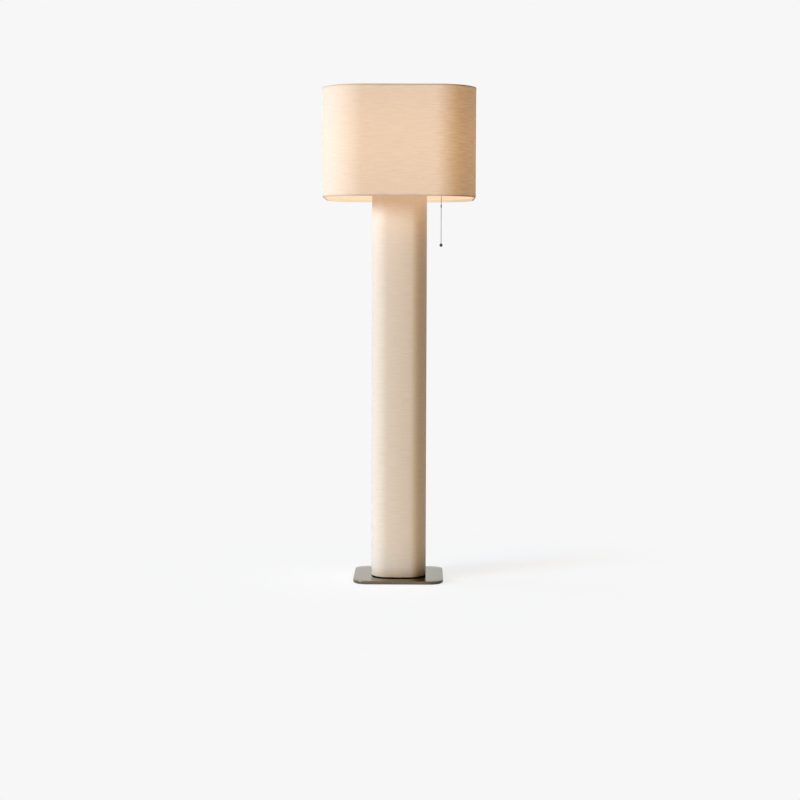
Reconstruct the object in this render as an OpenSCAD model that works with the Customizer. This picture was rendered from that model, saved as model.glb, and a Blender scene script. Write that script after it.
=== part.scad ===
// Floor lamp: a linen-covered square column with round corners on a metal base plate, under a linen shade
// of the same rounded-square plan, lit by two lamp holders and switched by a bead chain.
// Millimetres. +Z is up, the lamp stands on Z = 0 and its front faces -Y. The chain hangs on the +X side.

/* [Overall] */
// Height from the floor to the top edge of the shade
lamp_h = 1500; // [1400:1:1600]

/* [Base] */
// Width and depth of the base plate
base_w = 276; // [240:1:320]
// Corner radius of the base plate
base_corner_r = 42; // [30:1:60]
// Thickness of the base plate
base_t = 8; // [7:0.5:12]
// Thickness of the felt under the plate
felt_t = 2; // [1:0.5:3]
// Distance of the felt's edge inside the plate's edge
felt_inset = 3; // [1:0.5:8]
// Height of the spacer that leaves a dark gap under the column
foot_t = 4; // [3:0.5:8]
// Distance of the spacer's edge inside the column's face
foot_inset = 10; // [6:1:16]
// Side of the square on which the base screws lie
base_screw_spacing = 92; // [70:1:96]
// Thread diameter of the base screws
base_screw_d = 6; // [4:1:6]
// Length of the threaded inserts that the base screws go into
insert_len = 12; // [8:1:13]

/* [Column] */
// Width and depth of the column over its linen
column_w = 166; // [160:1:190]
// Corner radius of the column over its linen
column_corner_r = 53; // [36:1:60]
// Thickness of the linen cover
cover_t = 1.2; // [0.8:0.1:1.6]
// Wall of the bent plywood core
core_wall = 9; // [8:0.5:11]
// Thickness of the boards that close the core
board_t = 18; // [16:1:25]
// How far the column reaches up inside the shade
column_rise = 38; // [30:1:50]
// Thickness of the steel plate on the column's top
top_plate_t = 2; // [1.5:0.5:4]
// Width of the bare rim around the top plate
top_plate_edge = 9; // [5:1:14]
// Side of the square on which the top plate's screws lie
top_screw_spacing = 104; // [90:1:110]

/* [Cord outlet] */
// Height of the outlet above the bottom board
outlet_rise = 16; // [14:1:30]
// Diameter of the hole that the mains lead goes through
outlet_bore_d = 6.5; // [5:0.5:8]
// Width of the outlet's collar around its bore
outlet_wall = 2.75; // [2:0.25:4]
// Diameter of the lead inside the column
lead_d = 5.4; // [4:0.1:5.6]
// Length of the terminal block
terminal_w = 34; // [30:1:40]
// Depth of the terminal block
terminal_depth = 18; // [16:1:22]
// Height of the terminal block
terminal_h = 16; // [14:1:20]
// Distance of the terminal block behind the column's axis
terminal_y = 42; // [34:1:50]

/* [Shade] */
// Width and depth of the shade over its trims
shade_w = 462; // [430:1:500]
// Height of the shade
shade_h = 328; // [300:1:350]
// Corner radius of the shade
shade_corner_r = 122; // [80:1:130]
// Thickness of the shade's linen
linen_t = 1; // [0.8:0.1:1.6]
// Thickness of the stiff liner behind the linen
liner_t = 0.6; // [0.5:0.1:1]
// Thickness of the tape that binds the edges
trim_t = 0.6; // [0.4:0.1:1]
// Height of the tape on the shade's outside
trim_h = 8; // [7:0.5:12]
// Diameter of the wire in the two rings
ring_wire_d = 4; // [3:0.5:4.5]
// Diameter of the four arms that carry the shade
arm_wire_d = 3; // [2.5:0.5:3]
// Depth of the shade's seat below its top edge
seat_drop = 30; // [28:1:40]
// Radius of the bend where an arm turns up to its ring
arm_bend_r = 8; // [6:1:12]
// Radius of the washer at the middle of the arms
hub_r = 16; // [15:1:20]

/* [Stem and cluster] */
// Thread diameter of the stem tubes
stem_d = 10; // [9:0.5:11]
// Bore of the lower stem tube, for the lead
stem_bore_d = 6; // [5.8:0.1:6.4]
// Diameter of the cluster body
cluster_d = 40; // [38:1:48]
// Height of the cluster body
cluster_h = 30; // [28:1:36]
// Wall of the cluster body
cluster_wall = 2; // [1.5:0.25:3]
// Thickness of the cluster's floor and lid
cluster_floor = 3; // [2:0.5:4]
// Height of the socket arms above the cluster's underside
arm_rise = 17; // [16:0.5:18]
// Distance of each lamp holder from the lamp's axis
socket_y = 70; // [64:1:80]
// Outer diameter of a socket arm
socket_arm_d = 10; // [9:0.5:10]
// Radius of a socket arm's bend
socket_bend_r = 16; // [12:1:20]
// Radius of the shade's seat
seat_r = 12; // [11:0.5:13]
// Thickness of the shade's seat
seat_t = 4; // [3:0.5:6]
// Diameter of the stud that the finial screws onto
stud_d = 6; // [5:0.5:6.5]
// Height of the finial
finial_h = 22; // [20:1:24]
// Radius of the finial's ball
finial_r = 7.5; // [6.5:0.5:8.5]

/* [Lamp holders and bulbs] */
// Outer diameter of a lamp holder's cap
socket_cap_d = 39; // [38:0.5:44]
// Height of a lamp holder's sleeve
sleeve_h = 40; // [39:1:44]
// Inner radius of the screw shell
screw_shell_r = 13.45; // [13.45:0.05:13.6]
// Radius of the bulb's screw cap
bulb_cap_r = 13.15; // [13:0.05:13.15]
// Length of the bulb's threaded shell
bulb_cap_h = 21; // [20:0.5:23]
// Radius of the bulb's globe
bulb_r = 30; // [25:0.5:34]
// Length of the bulb's glass above its cap
bulb_glass_h = 80; // [76:1:90]
// Thickness of the bulb's glass
bulb_wall = 1; // [0.8:0.1:1.4]

/* [Switch and chain] */
// Distance of the chain from the column's face
chain_gap = 45; // [44:1:60]
// Width of the flat bar that carries the switch
bracket_w = 20; // [18:1:24]
// Thickness of the flat bar
bracket_t = 3; // [2:0.5:4]
// Wall of the switch's case
case_wall = 2; // [1.5:0.25:2.5]
// Radius at which the chain pulls on the rotor
pull_r = 9; // [8.5:0.25:10]
// Diameter of the switch's threaded collar
collar_d = 10; // [9:0.5:10]
// Bore of the collar, which the chain runs in
collar_bore_d = 4.6; // [4:0.2:5]
// Length of the bell mouth at the end of the collar
bell_h = 12; // [11:0.5:14]
// Distance between the beads of the chain
bead_pitch = 3.3; // [3:0.1:3.6]
// Diameter of a bead
bead_d = 2.4; // [2:0.1:2.6]
// Diameter of the wire between two beads
bead_link_d = 0.8; // [0.6:0.1:1]
// Number of beads above the connector
beads_above_connector = 13; // [10:1:16]
// Distance of the ball's centre below the point that the chain swings from
ball_drop = 164.5; // [140:0.5:180]
// Diameter of the ball at the chain's end
ball_d = 10; // [8:0.5:12]

/* [Hidden] */
$fn = 48;

// Clearances: fit is for a turned or threaded fit, seat_gap for wire laid in a fold, free for pieces that
// move or that glue holds
fit = 0.05;
seat_gap = 0.1;
free = 0.3;
// Overshoot that lets a cut pass right through a face
cut = 1;

// Heights of the base and the column
plate_top_z = felt_t + base_t;
column_z = plate_top_z + foot_t;
shade_z = lamp_h - shade_h;
column_top_z = shade_z + column_rise;
bottom_board_top_z = column_z + board_t;
top_board_z = column_top_z - board_t;
inner_w = column_w - 2 * (cover_t + core_wall);
inner_corner_r = column_corner_r - cover_t - core_wall;

// Cord outlet in the back of the column
outlet_z = bottom_board_top_z + outlet_rise;
outlet_r = outlet_bore_d / 2 + outlet_wall;
outlet_flange_t = 2;
outlet_flange_w = 2.5;

// Countersunk base screws and their inserts
base_head_r = base_screw_d;
base_head_h = base_screw_d / 2;
insert_wall = 1.5;
insert_r = base_screw_d / 2 + insert_wall;

// Top plate and its wood screws
top_plate_w = column_w - 2 * top_plate_edge;
top_screw_r = 2;
top_screw_len = 14;
top_screw_head_r = 4;
top_screw_head_h = 2.2;
top_screw_bevel = 1;

// Stem, bracket and cluster on the column's top plate
stem_r = stem_d / 2;
stem_tail = 10;
bracket_z = column_top_z + top_plate_t;
cluster_z = bracket_z + bracket_t;
nut_h = 5;
nut_flat = 1.5 * stem_d;
stem_proud = 3;
stem_top_z = cluster_z + cluster_floor + nut_h + stem_proud;
bracket_eye_margin = 4;
lid_z = cluster_z + cluster_h;
arm_z = cluster_z + arm_rise;
socket_arm_r = socket_arm_d / 2;
socket_arm_wall = 1.6;
socket_arm_tail = 2;
riser_wall = 1.5;
riser_proud = 1;
washer_t = 1.5;

// Seat of the shade at the top of the riser, and the finial above it
seat_z = lamp_h - seat_drop;
seat_neck_h = 10;
seat_neck_wall = 2;
stud_below_seat = 10;
stud_above_hub = 13;
finial_foot_r = 7;
finial_foot_h = 3;
finial_neck_r = 4.5;

// Lamp holder, measured from its own underside
socket_z = arm_z + socket_bend_r;
socket_hub_h = 8;
socket_hub_wall = 3;
socket_cap_wall = 1;
socket_floor_h = socket_hub_h + 2;
socket_cap_h = 24;
socket_chamfer = 5;
insulator_wall = 3;
insulator_floor = 10;
insulator_h = 36;
screw_shell_wall = 0.5;
screw_shell_h = 24;
contact_t = 1.2;
contact_r = 4;
sleeve_wall = 0.8;
sleeve_rim_r = 0.9;
sleeve_r = socket_cap_d / 2 - socket_cap_wall - seat_gap;
bulb_tip_h = 1.2;
bulb_tip_r = 4.5;
bulb_cone_h = 3.5;
bulb_cone_r = 5;
bulb_neck_inset = 0.2;
bulb_z = socket_z + socket_floor_h + insulator_floor + contact_t + free;
glass_z = bulb_z + bulb_tip_h + bulb_cone_h + bulb_cap_h;

// Layers of the shade, each as its distance inside the trims' outer face
linen_depth = trim_t;
liner_depth = linen_depth + linen_t;
ring_depth = liner_depth + liner_t + seat_gap + ring_wire_d / 2;
trim_depth = ring_depth + ring_wire_d / 2 + seat_gap + trim_t;
ring_inset_z = trim_t + seat_gap + ring_wire_d / 2;
hub_play = 0.4;
hub_bore_r = stud_d / 2 + hub_play;
arm_root = 1;

// Switch: the rotor turns about Y, and the chain hangs from its groove
chain_x = column_w / 2 + chain_gap;
bead_r = bead_d / 2;
bead_play = 0.4;
drum_r = pull_r - bead_r - bead_play;
groove_w = bead_d + 2 * free;
flange_t = 1;
flange_r = pull_r + bead_r + bead_play;
rotor_half_w = groove_w / 2 + flange_t;
case_gap = 0.5;
case_side_gap = 0.2;
chain_side_gap = 1.8;
spring_w = 3;
cam_w = 2.8;
cam_r = 5.2;
axle_r = 1.5;
rotor_hub_r = 2.9;
case_z = cluster_z;
rotor_x = chain_x - pull_r;
rotor_z = case_z + case_wall + flange_r + case_gap;
case_low_x = rotor_x - flange_r - case_gap;
case_high_x = chain_x + bead_r + chain_side_gap;
case_half_y = rotor_half_w + spring_w + 2 * free + case_side_gap;
case_top_z = rotor_z + flange_r + case_gap;
collar_r = collar_d / 2;
collar_bore_r = collar_bore_d / 2;
collar_nut_h = 3;
collar_nut_flat = 1.4 * collar_d;
collar_tail = 7;
collar_end_z = bracket_z - collar_nut_h - collar_tail;
bell_nut_gap = 1;
bell_top_z = bracket_z - collar_nut_h - bell_nut_gap;
bell_z = bell_top_z - bell_h;
bell_wall = 1.2;
bell_throat_h = 2.5;
bell_flare = 1.5;
bell_lip_r = collar_bore_r + bell_flare;
bell_bevel = 1;
lead_wire_d = 2.4;
lead_port_r = 4;
lead_port_y = 1.6;
lead_tail = 1;

// Chain, hung from the point just below the bell mouth
swing_gap = 0.5;
swing_z = bell_z - swing_gap;
upper_beads = floor((rotor_z - swing_z) / bead_pitch);
ball_neck_h = 2;
ball_neck_r = 1.8;
ball_bore_depth = 3;
ball_z = swing_z - ball_drop;
chain_run = ball_drop - ball_d / 2 - ball_neck_h;
lower_beads = floor((chain_run - bead_r) / bead_pitch);
connector_h = 8;
connector_wall = 0.6;
connector_r = bead_r + seat_gap + connector_wall;
connector_z = swing_z - (beads_above_connector + 0.5) * bead_pitch;

// Colours
LINEN = [0.88, 0.82, 0.73];
PLY = [0.80, 0.68, 0.50];
BRONZE = [0.42, 0.36, 0.28];
BRASS = [0.72, 0.58, 0.34];
STEEL = [0.66, 0.66, 0.66];
BLACK = [0.12, 0.12, 0.12];
WHITE = [0.93, 0.92, 0.90];

// Square of width w whose corners are arcs of radius r
module soft_square(w, r) {
    square([w, w - 2 * r], center = true);
    square([w - 2 * r, w], center = true);
    for (x = [-1, 1], y = [-1, 1])
        translate([x * (w / 2 - r), y * (w / 2 - r)]) circle(r = r);
}

// Upright tube with a rounded-square plan, of outer width w
module soft_tube(w, r, wall, h) {
    linear_extrude(h) difference() {
        soft_square(w, r);
        soft_square(w - 2 * wall, r - wall);
    }
}

// Round wire bent to a rounded square, of width w along its centre line
module wire_loop(w, r, d) {
    for (q = [0 : 3]) rotate(90 * q) {
        translate([w / 2, r - w / 2, 0]) rotate([-90, 0, 0]) cylinder(d = d, h = w - 2 * r);
        translate([w / 2 - r, w / 2 - r, 0]) rotate_extrude(angle = 90) translate([r, 0]) circle(d = d);
    }
}

// Places its children at the four corners of a square
module at_corners(side) {
    for (x = [-1, 1], y = [-1, 1]) translate([x * side / 2, y * side / 2, 0]) children();
}

// Upright ring from its own Z = 0
module ring(outer_r, inner_r, h) {
    difference() {
        cylinder(r = outer_r, h = h);
        translate([0, 0, -cut]) cylinder(r = inner_r, h = h + 2 * cut);
    }
}

// Hexagon nut on a thread of radius r
module hex_nut(r, flat_w, h) {
    difference() {
        cylinder(r = flat_w / sqrt(3), h = h, $fn = 6);
        translate([0, 0, -cut]) cylinder(r = r + fit, h = h + 2 * cut);
    }
}

// Round tube swept along points that lie in one plane; across is the direction square to that plane
module swept_tube(points, d, across, sides = 8) {
    last = len(points) - 1;
    along = [for (i = [0 : last]) let(v = points[min(i + 1, last)] - points[max(i - 1, 0)]) v / norm(v)];
    rings = [for (i = [0 : last], k = [0 : sides - 1]) let(a = 360 * k / sides)
        points[i] + d / 2 * (cos(a) * across + sin(a) * cross(along[i], across))];
    walls = [for (i = [0 : last - 1], k = [0 : sides - 1]) let(n = (k + 1) % sides)
        [i * sides + k, (i + 1) * sides + k, (i + 1) * sides + n, i * sides + n]];
    start = [for (k = [0 : sides - 1]) k];
    end = [for (k = [sides - 1 : -1 : 0]) last * sides + k];
    polyhedron(points = rings, faces = concat(walls, [start, end]), convexity = 4);
}

// Base and column

module base_plate() {
    color(BRONZE) difference() {
        translate([0, 0, felt_t]) linear_extrude(base_t) soft_square(base_w, base_corner_r);
        at_corners(base_screw_spacing) {
            translate([0, 0, felt_t - cut]) cylinder(r = base_screw_d / 2 + free, h = base_t + 2 * cut);
            translate([0, 0, felt_t]) cylinder(r1 = base_head_r + seat_gap,
                r2 = base_screw_d / 2 + seat_gap, h = base_head_h);
        }
    }
}

module base_felt() {
    color(BLACK) linear_extrude(felt_t) soft_square(base_w - 2 * felt_inset, base_corner_r - felt_inset);
}

module base_screws() {
    color(STEEL) at_corners(base_screw_spacing) translate([0, 0, felt_t]) {
        cylinder(r1 = base_head_r, r2 = base_screw_d / 2, h = base_head_h);
        cylinder(r = base_screw_d / 2, h = base_t + foot_t + insert_len);
    }
}

module base_inserts() {
    color(BRASS) at_corners(base_screw_spacing) translate([0, 0, column_z])
        ring(insert_r, base_screw_d / 2 + fit, insert_len);
}

module column_foot() {
    color(BLACK) difference() {
        translate([0, 0, plate_top_z]) linear_extrude(foot_t)
            soft_square(column_w - 2 * foot_inset, column_corner_r - foot_inset);
        at_corners(base_screw_spacing) translate([0, 0, plate_top_z - cut])
            cylinder(r = base_screw_d / 2 + free, h = foot_t + 2 * cut);
    }
}

module column_bottom_board() {
    color(PLY) difference() {
        translate([0, 0, column_z]) linear_extrude(board_t)
            soft_square(inner_w - 2 * free, inner_corner_r - free);
        at_corners(base_screw_spacing) translate([0, 0, column_z - cut])
            cylinder(r = insert_r + fit, h = insert_len + 2 * cut);
    }
}

module outlet_hole() {
    translate([0, column_w / 4, outlet_z]) rotate([-90, 0, 0])
        cylinder(r = outlet_r + fit, h = column_w / 2);
}

module column_core() {
    color(PLY) difference() {
        translate([0, 0, column_z + cover_t]) soft_tube(column_w - 2 * cover_t, column_corner_r - cover_t,
            core_wall, column_top_z - column_z - 2 * cover_t);
        outlet_hole();
    }
}

module column_top_board() {
    color(PLY) difference() {
        translate([0, 0, top_board_z]) linear_extrude(board_t)
            soft_square(inner_w - 2 * free, inner_corner_r - free);
        translate([0, 0, top_board_z - cut]) cylinder(r = stem_r + free, h = board_t + 2 * cut);
        at_corners(top_screw_spacing) translate([0, 0, column_top_z - top_screw_len])
            cylinder(r = top_screw_r + fit, h = top_screw_len + cut);
    }
}

// Linen sleeve, turned in over the core's two ends
module column_cover() {
    column_h = column_top_z - column_z;
    color(LINEN) difference() {
        union() {
            translate([0, 0, column_z]) soft_tube(column_w, column_corner_r, cover_t, column_h);
            for (z = [column_z, column_top_z - cover_t]) translate([0, 0, z])
                soft_tube(column_w, column_corner_r, cover_t + core_wall, cover_t);
        }
        outlet_hole();
    }
}

module column_top_plate() {
    color(BLACK) difference() {
        translate([0, 0, column_top_z]) linear_extrude(top_plate_t)
            soft_square(top_plate_w, column_corner_r - top_plate_edge);
        translate([0, 0, column_top_z - cut]) cylinder(r = stem_r + free, h = top_plate_t + 2 * cut);
        at_corners(top_screw_spacing) translate([0, 0, column_top_z - cut])
            cylinder(r = top_screw_r + free, h = top_plate_t + 2 * cut);
    }
}

module top_plate_screws() {
    color(STEEL) at_corners(top_screw_spacing) {
        translate([0, 0, column_top_z - top_screw_len])
            cylinder(r = top_screw_r, h = top_screw_len + top_plate_t);
        translate([0, 0, column_top_z + top_plate_t])
            cylinder(r1 = top_screw_head_r, r2 = top_screw_head_r - top_screw_bevel, h = top_screw_head_h);
    }
}

// Cord outlet and the lead inside the column

module cord_outlet() {
    inner_y = inner_w / 2 - outlet_flange_t;
    color(BLACK) difference() {
        union() {
            translate([0, inner_y, outlet_z]) rotate([-90, 0, 0])
                cylinder(r = outlet_r, h = column_w / 2 - inner_y + outlet_flange_t);
            translate([0, column_w / 2, outlet_z]) rotate([-90, 0, 0])
                cylinder(r = outlet_r + outlet_flange_w, h = outlet_flange_t);
            translate([0, inner_y, outlet_z]) rotate([-90, 0, 0])
                cylinder(r = outlet_r + outlet_flange_w / 2, h = outlet_flange_t);
        }
        translate([0, inner_y - cut, outlet_z]) rotate([-90, 0, 0])
            cylinder(d = outlet_bore_d, h = column_w / 2);
    }
}

module terminal_block() {
    screw_pitch = terminal_w / 3;
    screw_hole_d = 4;
    color(WHITE) difference() {
        translate([-terminal_w / 2, terminal_y - terminal_depth / 2, bottom_board_top_z])
            cube([terminal_w, terminal_depth, terminal_h]);
        for (i = [-1 : 1]) translate([i * screw_pitch, terminal_y + terminal_depth / 4,
            bottom_board_top_z + terminal_h / 2]) cylinder(d = screw_hole_d, h = terminal_h);
    }
}

// The lead stands on the terminal block, leans to the axis and goes up through the stem
module supply_lead() {
    foot_z = bottom_board_top_z + terminal_h;
    foot_y = terminal_y - terminal_depth / 4;
    lean_h = 340;
    lean_steps = 12;
    lean = [for (i = [0 : lean_steps]) let(t = i / lean_steps)
        [0, foot_y * (1 + cos(180 * t)) / 2, foot_z + lead_d + lean_h * t]];
    route = concat([[0, foot_y, foot_z], [0, foot_y, foot_z + lead_d / 2]], lean, [[0, 0, stem_top_z]]);
    color(WHITE) swept_tube(route, lead_d, [1, 0, 0]);
}

// Stem, bracket and cluster

module stem_tube() {
    color(STEEL) translate([0, 0, top_board_z - stem_tail])
        ring(stem_r, stem_bore_d / 2, stem_top_z - top_board_z + stem_tail);
}

// Like nuts under the top board, on the cluster's floor and under its lid
module stem_nuts() {
    for (z = [top_board_z - washer_t - nut_h, cluster_z + cluster_floor, lid_z - cluster_floor - nut_h])
        translate([0, 0, z]) color(STEEL) hex_nut(stem_r, nut_flat, nut_h);
}

module stem_washer() {
    color(STEEL) translate([0, 0, top_board_z - washer_t]) ring(stem_d, stem_r + fit, washer_t);
}

module switch_bracket() {
    color(BLACK) difference() {
        translate([0, 0, bracket_z]) linear_extrude(bracket_t) union() {
            circle(d = bracket_w + 2 * bracket_eye_margin);
            translate([0, -bracket_w / 2]) square([chain_x, bracket_w]);
            translate([chain_x, 0]) circle(d = bracket_w);
        }
        translate([0, 0, bracket_z - cut]) cylinder(r = stem_r + free, h = bracket_t + 2 * cut);
        translate([chain_x, 0, bracket_z - cut]) cylinder(r = collar_r + free, h = bracket_t + 2 * cut);
    }
}

module cluster_body() {
    inner_r = cluster_d / 2 - cluster_wall;
    color(BRASS) difference() {
        translate([0, 0, cluster_z]) cylinder(d = cluster_d, h = cluster_h);
        translate([0, 0, cluster_z + cluster_floor]) cylinder(r = inner_r, h = cluster_h);
        translate([0, 0, cluster_z - cut]) cylinder(r = stem_r + fit, h = cluster_floor + 2 * cut);
        translate([0, -cluster_d, arm_z]) rotate([-90, 0, 0])
            cylinder(r = socket_arm_r + fit, h = 2 * cluster_d);
        translate([0, 0, arm_z]) rotate([0, 90, 0]) cylinder(r = lead_port_r, h = cluster_d);
    }
}

module cluster_lid() {
    plug_r = cluster_d / 2 - cluster_wall - fit;
    color(BRASS) difference() {
        union() {
            translate([0, 0, lid_z]) cylinder(d = cluster_d, h = cluster_floor);
            translate([0, 0, lid_z - cluster_floor]) cylinder(r = plug_r, h = cluster_floor);
        }
        translate([0, 0, lid_z - cluster_floor - cut])
            cylinder(r = stem_r + fit, h = 2 * (cluster_floor + cut));
    }
}

module riser_tube() {
    foot_z = lid_z - cluster_floor - nut_h - riser_proud;
    color(BRASS) translate([0, 0, foot_z]) ring(stem_r, stem_r - riser_wall, seat_z - seat_t - foot_z);
}

module shade_seat() {
    color(BRASS) difference() {
        union() {
            translate([0, 0, seat_z - seat_t]) cylinder(r = seat_r, h = seat_t);
            translate([0, 0, seat_z - seat_t - seat_neck_h])
                cylinder(r = stem_r + seat_neck_wall, h = seat_neck_h);
        }
        translate([0, 0, seat_z - seat_t - seat_neck_h - cut])
            cylinder(r = stem_r + fit, h = seat_neck_h + cut);
        translate([0, 0, seat_z - seat_t - cut]) cylinder(r = stud_d / 2 + fit, h = seat_t + 2 * cut);
    }
}

module finial_stud() {
    color(STEEL) translate([0, 0, seat_z - stud_below_seat])
        cylinder(d = stud_d, h = stud_below_seat + arm_wire_d + stud_above_hub);
}

module finial() {
    foot_z = seat_z + arm_wire_d;
    color(BRASS) difference() {
        translate([0, 0, foot_z]) union() {
            cylinder(r = finial_foot_r, h = finial_foot_h);
            cylinder(r = finial_neck_r, h = finial_h - finial_r);
            translate([0, 0, finial_h - finial_r]) sphere(r = finial_r);
        }
        translate([0, 0, foot_z - cut]) cylinder(r = stud_d / 2 + fit, h = stud_above_hub + free + cut);
    }
}

// Lamp holders and bulbs, drawn at the rear and mirrored to the front

module at_side(side) {
    mirror([0, side == "front" ? 1 : 0, 0]) children();
}

module socket_arm(side) {
    inner_end = cluster_d / 2 - cluster_wall - socket_arm_tail;
    bore_r = socket_arm_r - socket_arm_wall;
    color(BRASS) at_side(side) difference() {
        arm_path(inner_end, socket_arm_r, 0);
        arm_path(inner_end, bore_r, cut);
    }
}

// Level run, quarter bend and rise of a socket arm; over lengthens both of its ends
module arm_path(inner_end, r, over) {
    bend_y = socket_y - socket_bend_r;
    translate([0, inner_end - over, arm_z]) rotate([-90, 0, 0])
        cylinder(r = r, h = bend_y - inner_end + over);
    translate([0, bend_y, arm_z + socket_bend_r]) rotate([90, 0, 90]) rotate([0, 0, -90])
        rotate_extrude(angle = 90) translate([socket_bend_r, 0]) circle(r = r);
    translate([0, socket_y, socket_z]) cylinder(r = r, h = socket_hub_h + over);
}

module at_socket(side) {
    at_side(side) translate([0, socket_y, socket_z]) children();
}

// Turned cap: a hub on the arm, a floor and a wall round the sleeve
module socket_cap(side) {
    r = socket_cap_d / 2;
    hub_out_r = socket_arm_r + socket_hub_wall;
    color(BRASS) at_socket(side) rotate_extrude() polygon([
        [socket_arm_r + fit, 0], [hub_out_r, 0], [hub_out_r, socket_hub_h],
        [r - socket_chamfer, socket_hub_h], [r, socket_hub_h + socket_chamfer], [r, socket_cap_h],
        [r - socket_cap_wall, socket_cap_h],
        [r - socket_cap_wall, socket_hub_h + socket_chamfer],
        [r - socket_chamfer - socket_cap_wall / 2, socket_floor_h], [socket_arm_r + fit, socket_floor_h]]);
}

module socket_sleeve(side) {
    color(BRASS) at_socket(side) translate([0, 0, socket_hub_h + socket_chamfer + free]) {
        ring(sleeve_r, sleeve_r - sleeve_wall, sleeve_h - socket_chamfer);
        translate([0, 0, sleeve_h - socket_chamfer]) rotate_extrude()
            translate([sleeve_r - sleeve_rim_r, 0]) circle(r = sleeve_rim_r);
    }
}

module socket_insulator(side) {
    outer_r = screw_shell_r + screw_shell_wall + insulator_wall;
    foot_r = socket_cap_d / 2 - socket_chamfer - socket_cap_wall;
    color(WHITE) at_socket(side) translate([0, 0, socket_floor_h]) difference() {
        union() {
            cylinder(r = foot_r, h = insulator_h);
            translate([0, 0, socket_chamfer]) cylinder(r = outer_r, h = insulator_h - socket_chamfer);
        }
        translate([0, 0, insulator_floor])
            cylinder(r = screw_shell_r + screw_shell_wall + fit, h = insulator_h);
    }
}

module screw_shell(side) {
    color(BRASS) at_socket(side) translate([0, 0, socket_floor_h + insulator_floor])
        ring(screw_shell_r + screw_shell_wall, screw_shell_r, screw_shell_h);
}

module socket_contact(side) {
    color(BRASS) at_socket(side) translate([0, 0, socket_floor_h + insulator_floor])
        cylinder(r = contact_r, h = contact_t);
}

module at_bulb(side, z) {
    at_side(side) translate([0, socket_y, z]) children();
}

module bulb_cap(side) {
    color(STEEL) at_bulb(side, bulb_z) {
        cylinder(r = bulb_tip_r, h = bulb_tip_h);
        translate([0, 0, bulb_tip_h]) cylinder(r1 = bulb_cone_r, r2 = bulb_cap_r, h = bulb_cone_h);
        translate([0, 0, bulb_tip_h + bulb_cone_h]) cylinder(r = bulb_cap_r, h = bulb_cap_h);
    }
}

// Half outline of a pear-shaped bulb: a straight neck that runs tangent into the globe
module bulb_outline(neck_r, globe_r, centre_z) {
    reach = norm([neck_r, centre_z]);
    tangent_a = atan2(-centre_z, neck_r) + acos(globe_r / reach);
    touch = [globe_r * cos(tangent_a), centre_z + globe_r * sin(tangent_a)];
    polygon([[0, 0], [neck_r, 0], touch, [0, touch.y]]);
    intersection() {
        translate([0, centre_z]) circle(r = globe_r);
        square([globe_r, centre_z + globe_r]);
    }
}

module bulb_glass(side) {
    neck_r = bulb_cap_r - bulb_neck_inset;
    centre_z = bulb_glass_h - bulb_r;
    color(WHITE) at_bulb(side, glass_z) rotate_extrude() difference() {
        bulb_outline(neck_r, bulb_r, centre_z);
        translate([0, bulb_wall]) bulb_outline(neck_r - bulb_wall, bulb_r - bulb_wall, centre_z - bulb_wall);
    }
}

// Shade

module shade_top_ring() {
    color(WHITE) translate([0, 0, lamp_h - ring_inset_z])
        wire_loop(shade_w - 2 * ring_depth, shade_corner_r - ring_depth, ring_wire_d);
}

module shade_bottom_ring() {
    color(WHITE) translate([0, 0, shade_z + ring_inset_z])
        wire_loop(shade_w - 2 * ring_depth, shade_corner_r - ring_depth, ring_wire_d);
}

// Washer with four wire arms that run level and then turn up to the top ring
module shade_spider() {
    reach = shade_w / 2 - ring_depth;
    arm_r = arm_wire_d / 2;
    level_run = reach - arm_bend_r - hub_r + arm_root;
    rise = lamp_h - ring_inset_z - ring_wire_d / 2 - seat_gap - seat_z - arm_r - arm_bend_r;
    color(WHITE) {
        translate([0, 0, seat_z]) ring(hub_r, hub_bore_r, arm_wire_d);
        for (q = [0 : 3]) rotate(90 * q) translate([0, 0, seat_z + arm_r]) {
            translate([hub_r - arm_root, 0, 0]) rotate([0, 90, 0]) cylinder(r = arm_r, h = level_run);
            translate([reach - arm_bend_r, 0, arm_bend_r]) rotate([90, 0, 0]) rotate([0, 0, -90])
                rotate_extrude(angle = 90) translate([arm_bend_r, 0]) circle(r = arm_r);
            translate([reach, 0, arm_bend_r]) cylinder(r = arm_r, h = rise);
        }
    }
}

module shade_layer(depth, wall) {
    translate([0, 0, shade_z + trim_t]) soft_tube(shade_w - 2 * depth, shade_corner_r - depth, wall,
        shade_h - 2 * trim_t);
}

module shade_liner() {
    color(WHITE) shade_layer(liner_depth, liner_t);
}

module shade_linen() {
    color(LINEN) shade_layer(linen_depth, linen_t);
}

// Binding tape folded over an edge of the shade and over its wire ring
module shade_trim() {
    soft_tube(shade_w, shade_corner_r, trim_t, trim_h);
    soft_tube(shade_w, shade_corner_r, trim_depth, trim_t);
    soft_tube(shade_w - 2 * (trim_depth - trim_t), shade_corner_r - trim_depth + trim_t, trim_t, trim_h);
}

module shade_trims() {
    color(LINEN) {
        translate([0, 0, shade_z]) shade_trim();
        translate([0, 0, lamp_h]) mirror([0, 0, 1]) shade_trim();
    }
}

// Switch

module case_box(grow) {
    translate([case_low_x - grow, -case_half_y - grow, rotor_z - flange_r - case_gap - grow])
        cube([case_high_x - case_low_x + 2 * grow, 2 * (case_half_y + grow),
            case_top_z - rotor_z + flange_r + case_gap + 2 * grow]);
}

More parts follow.
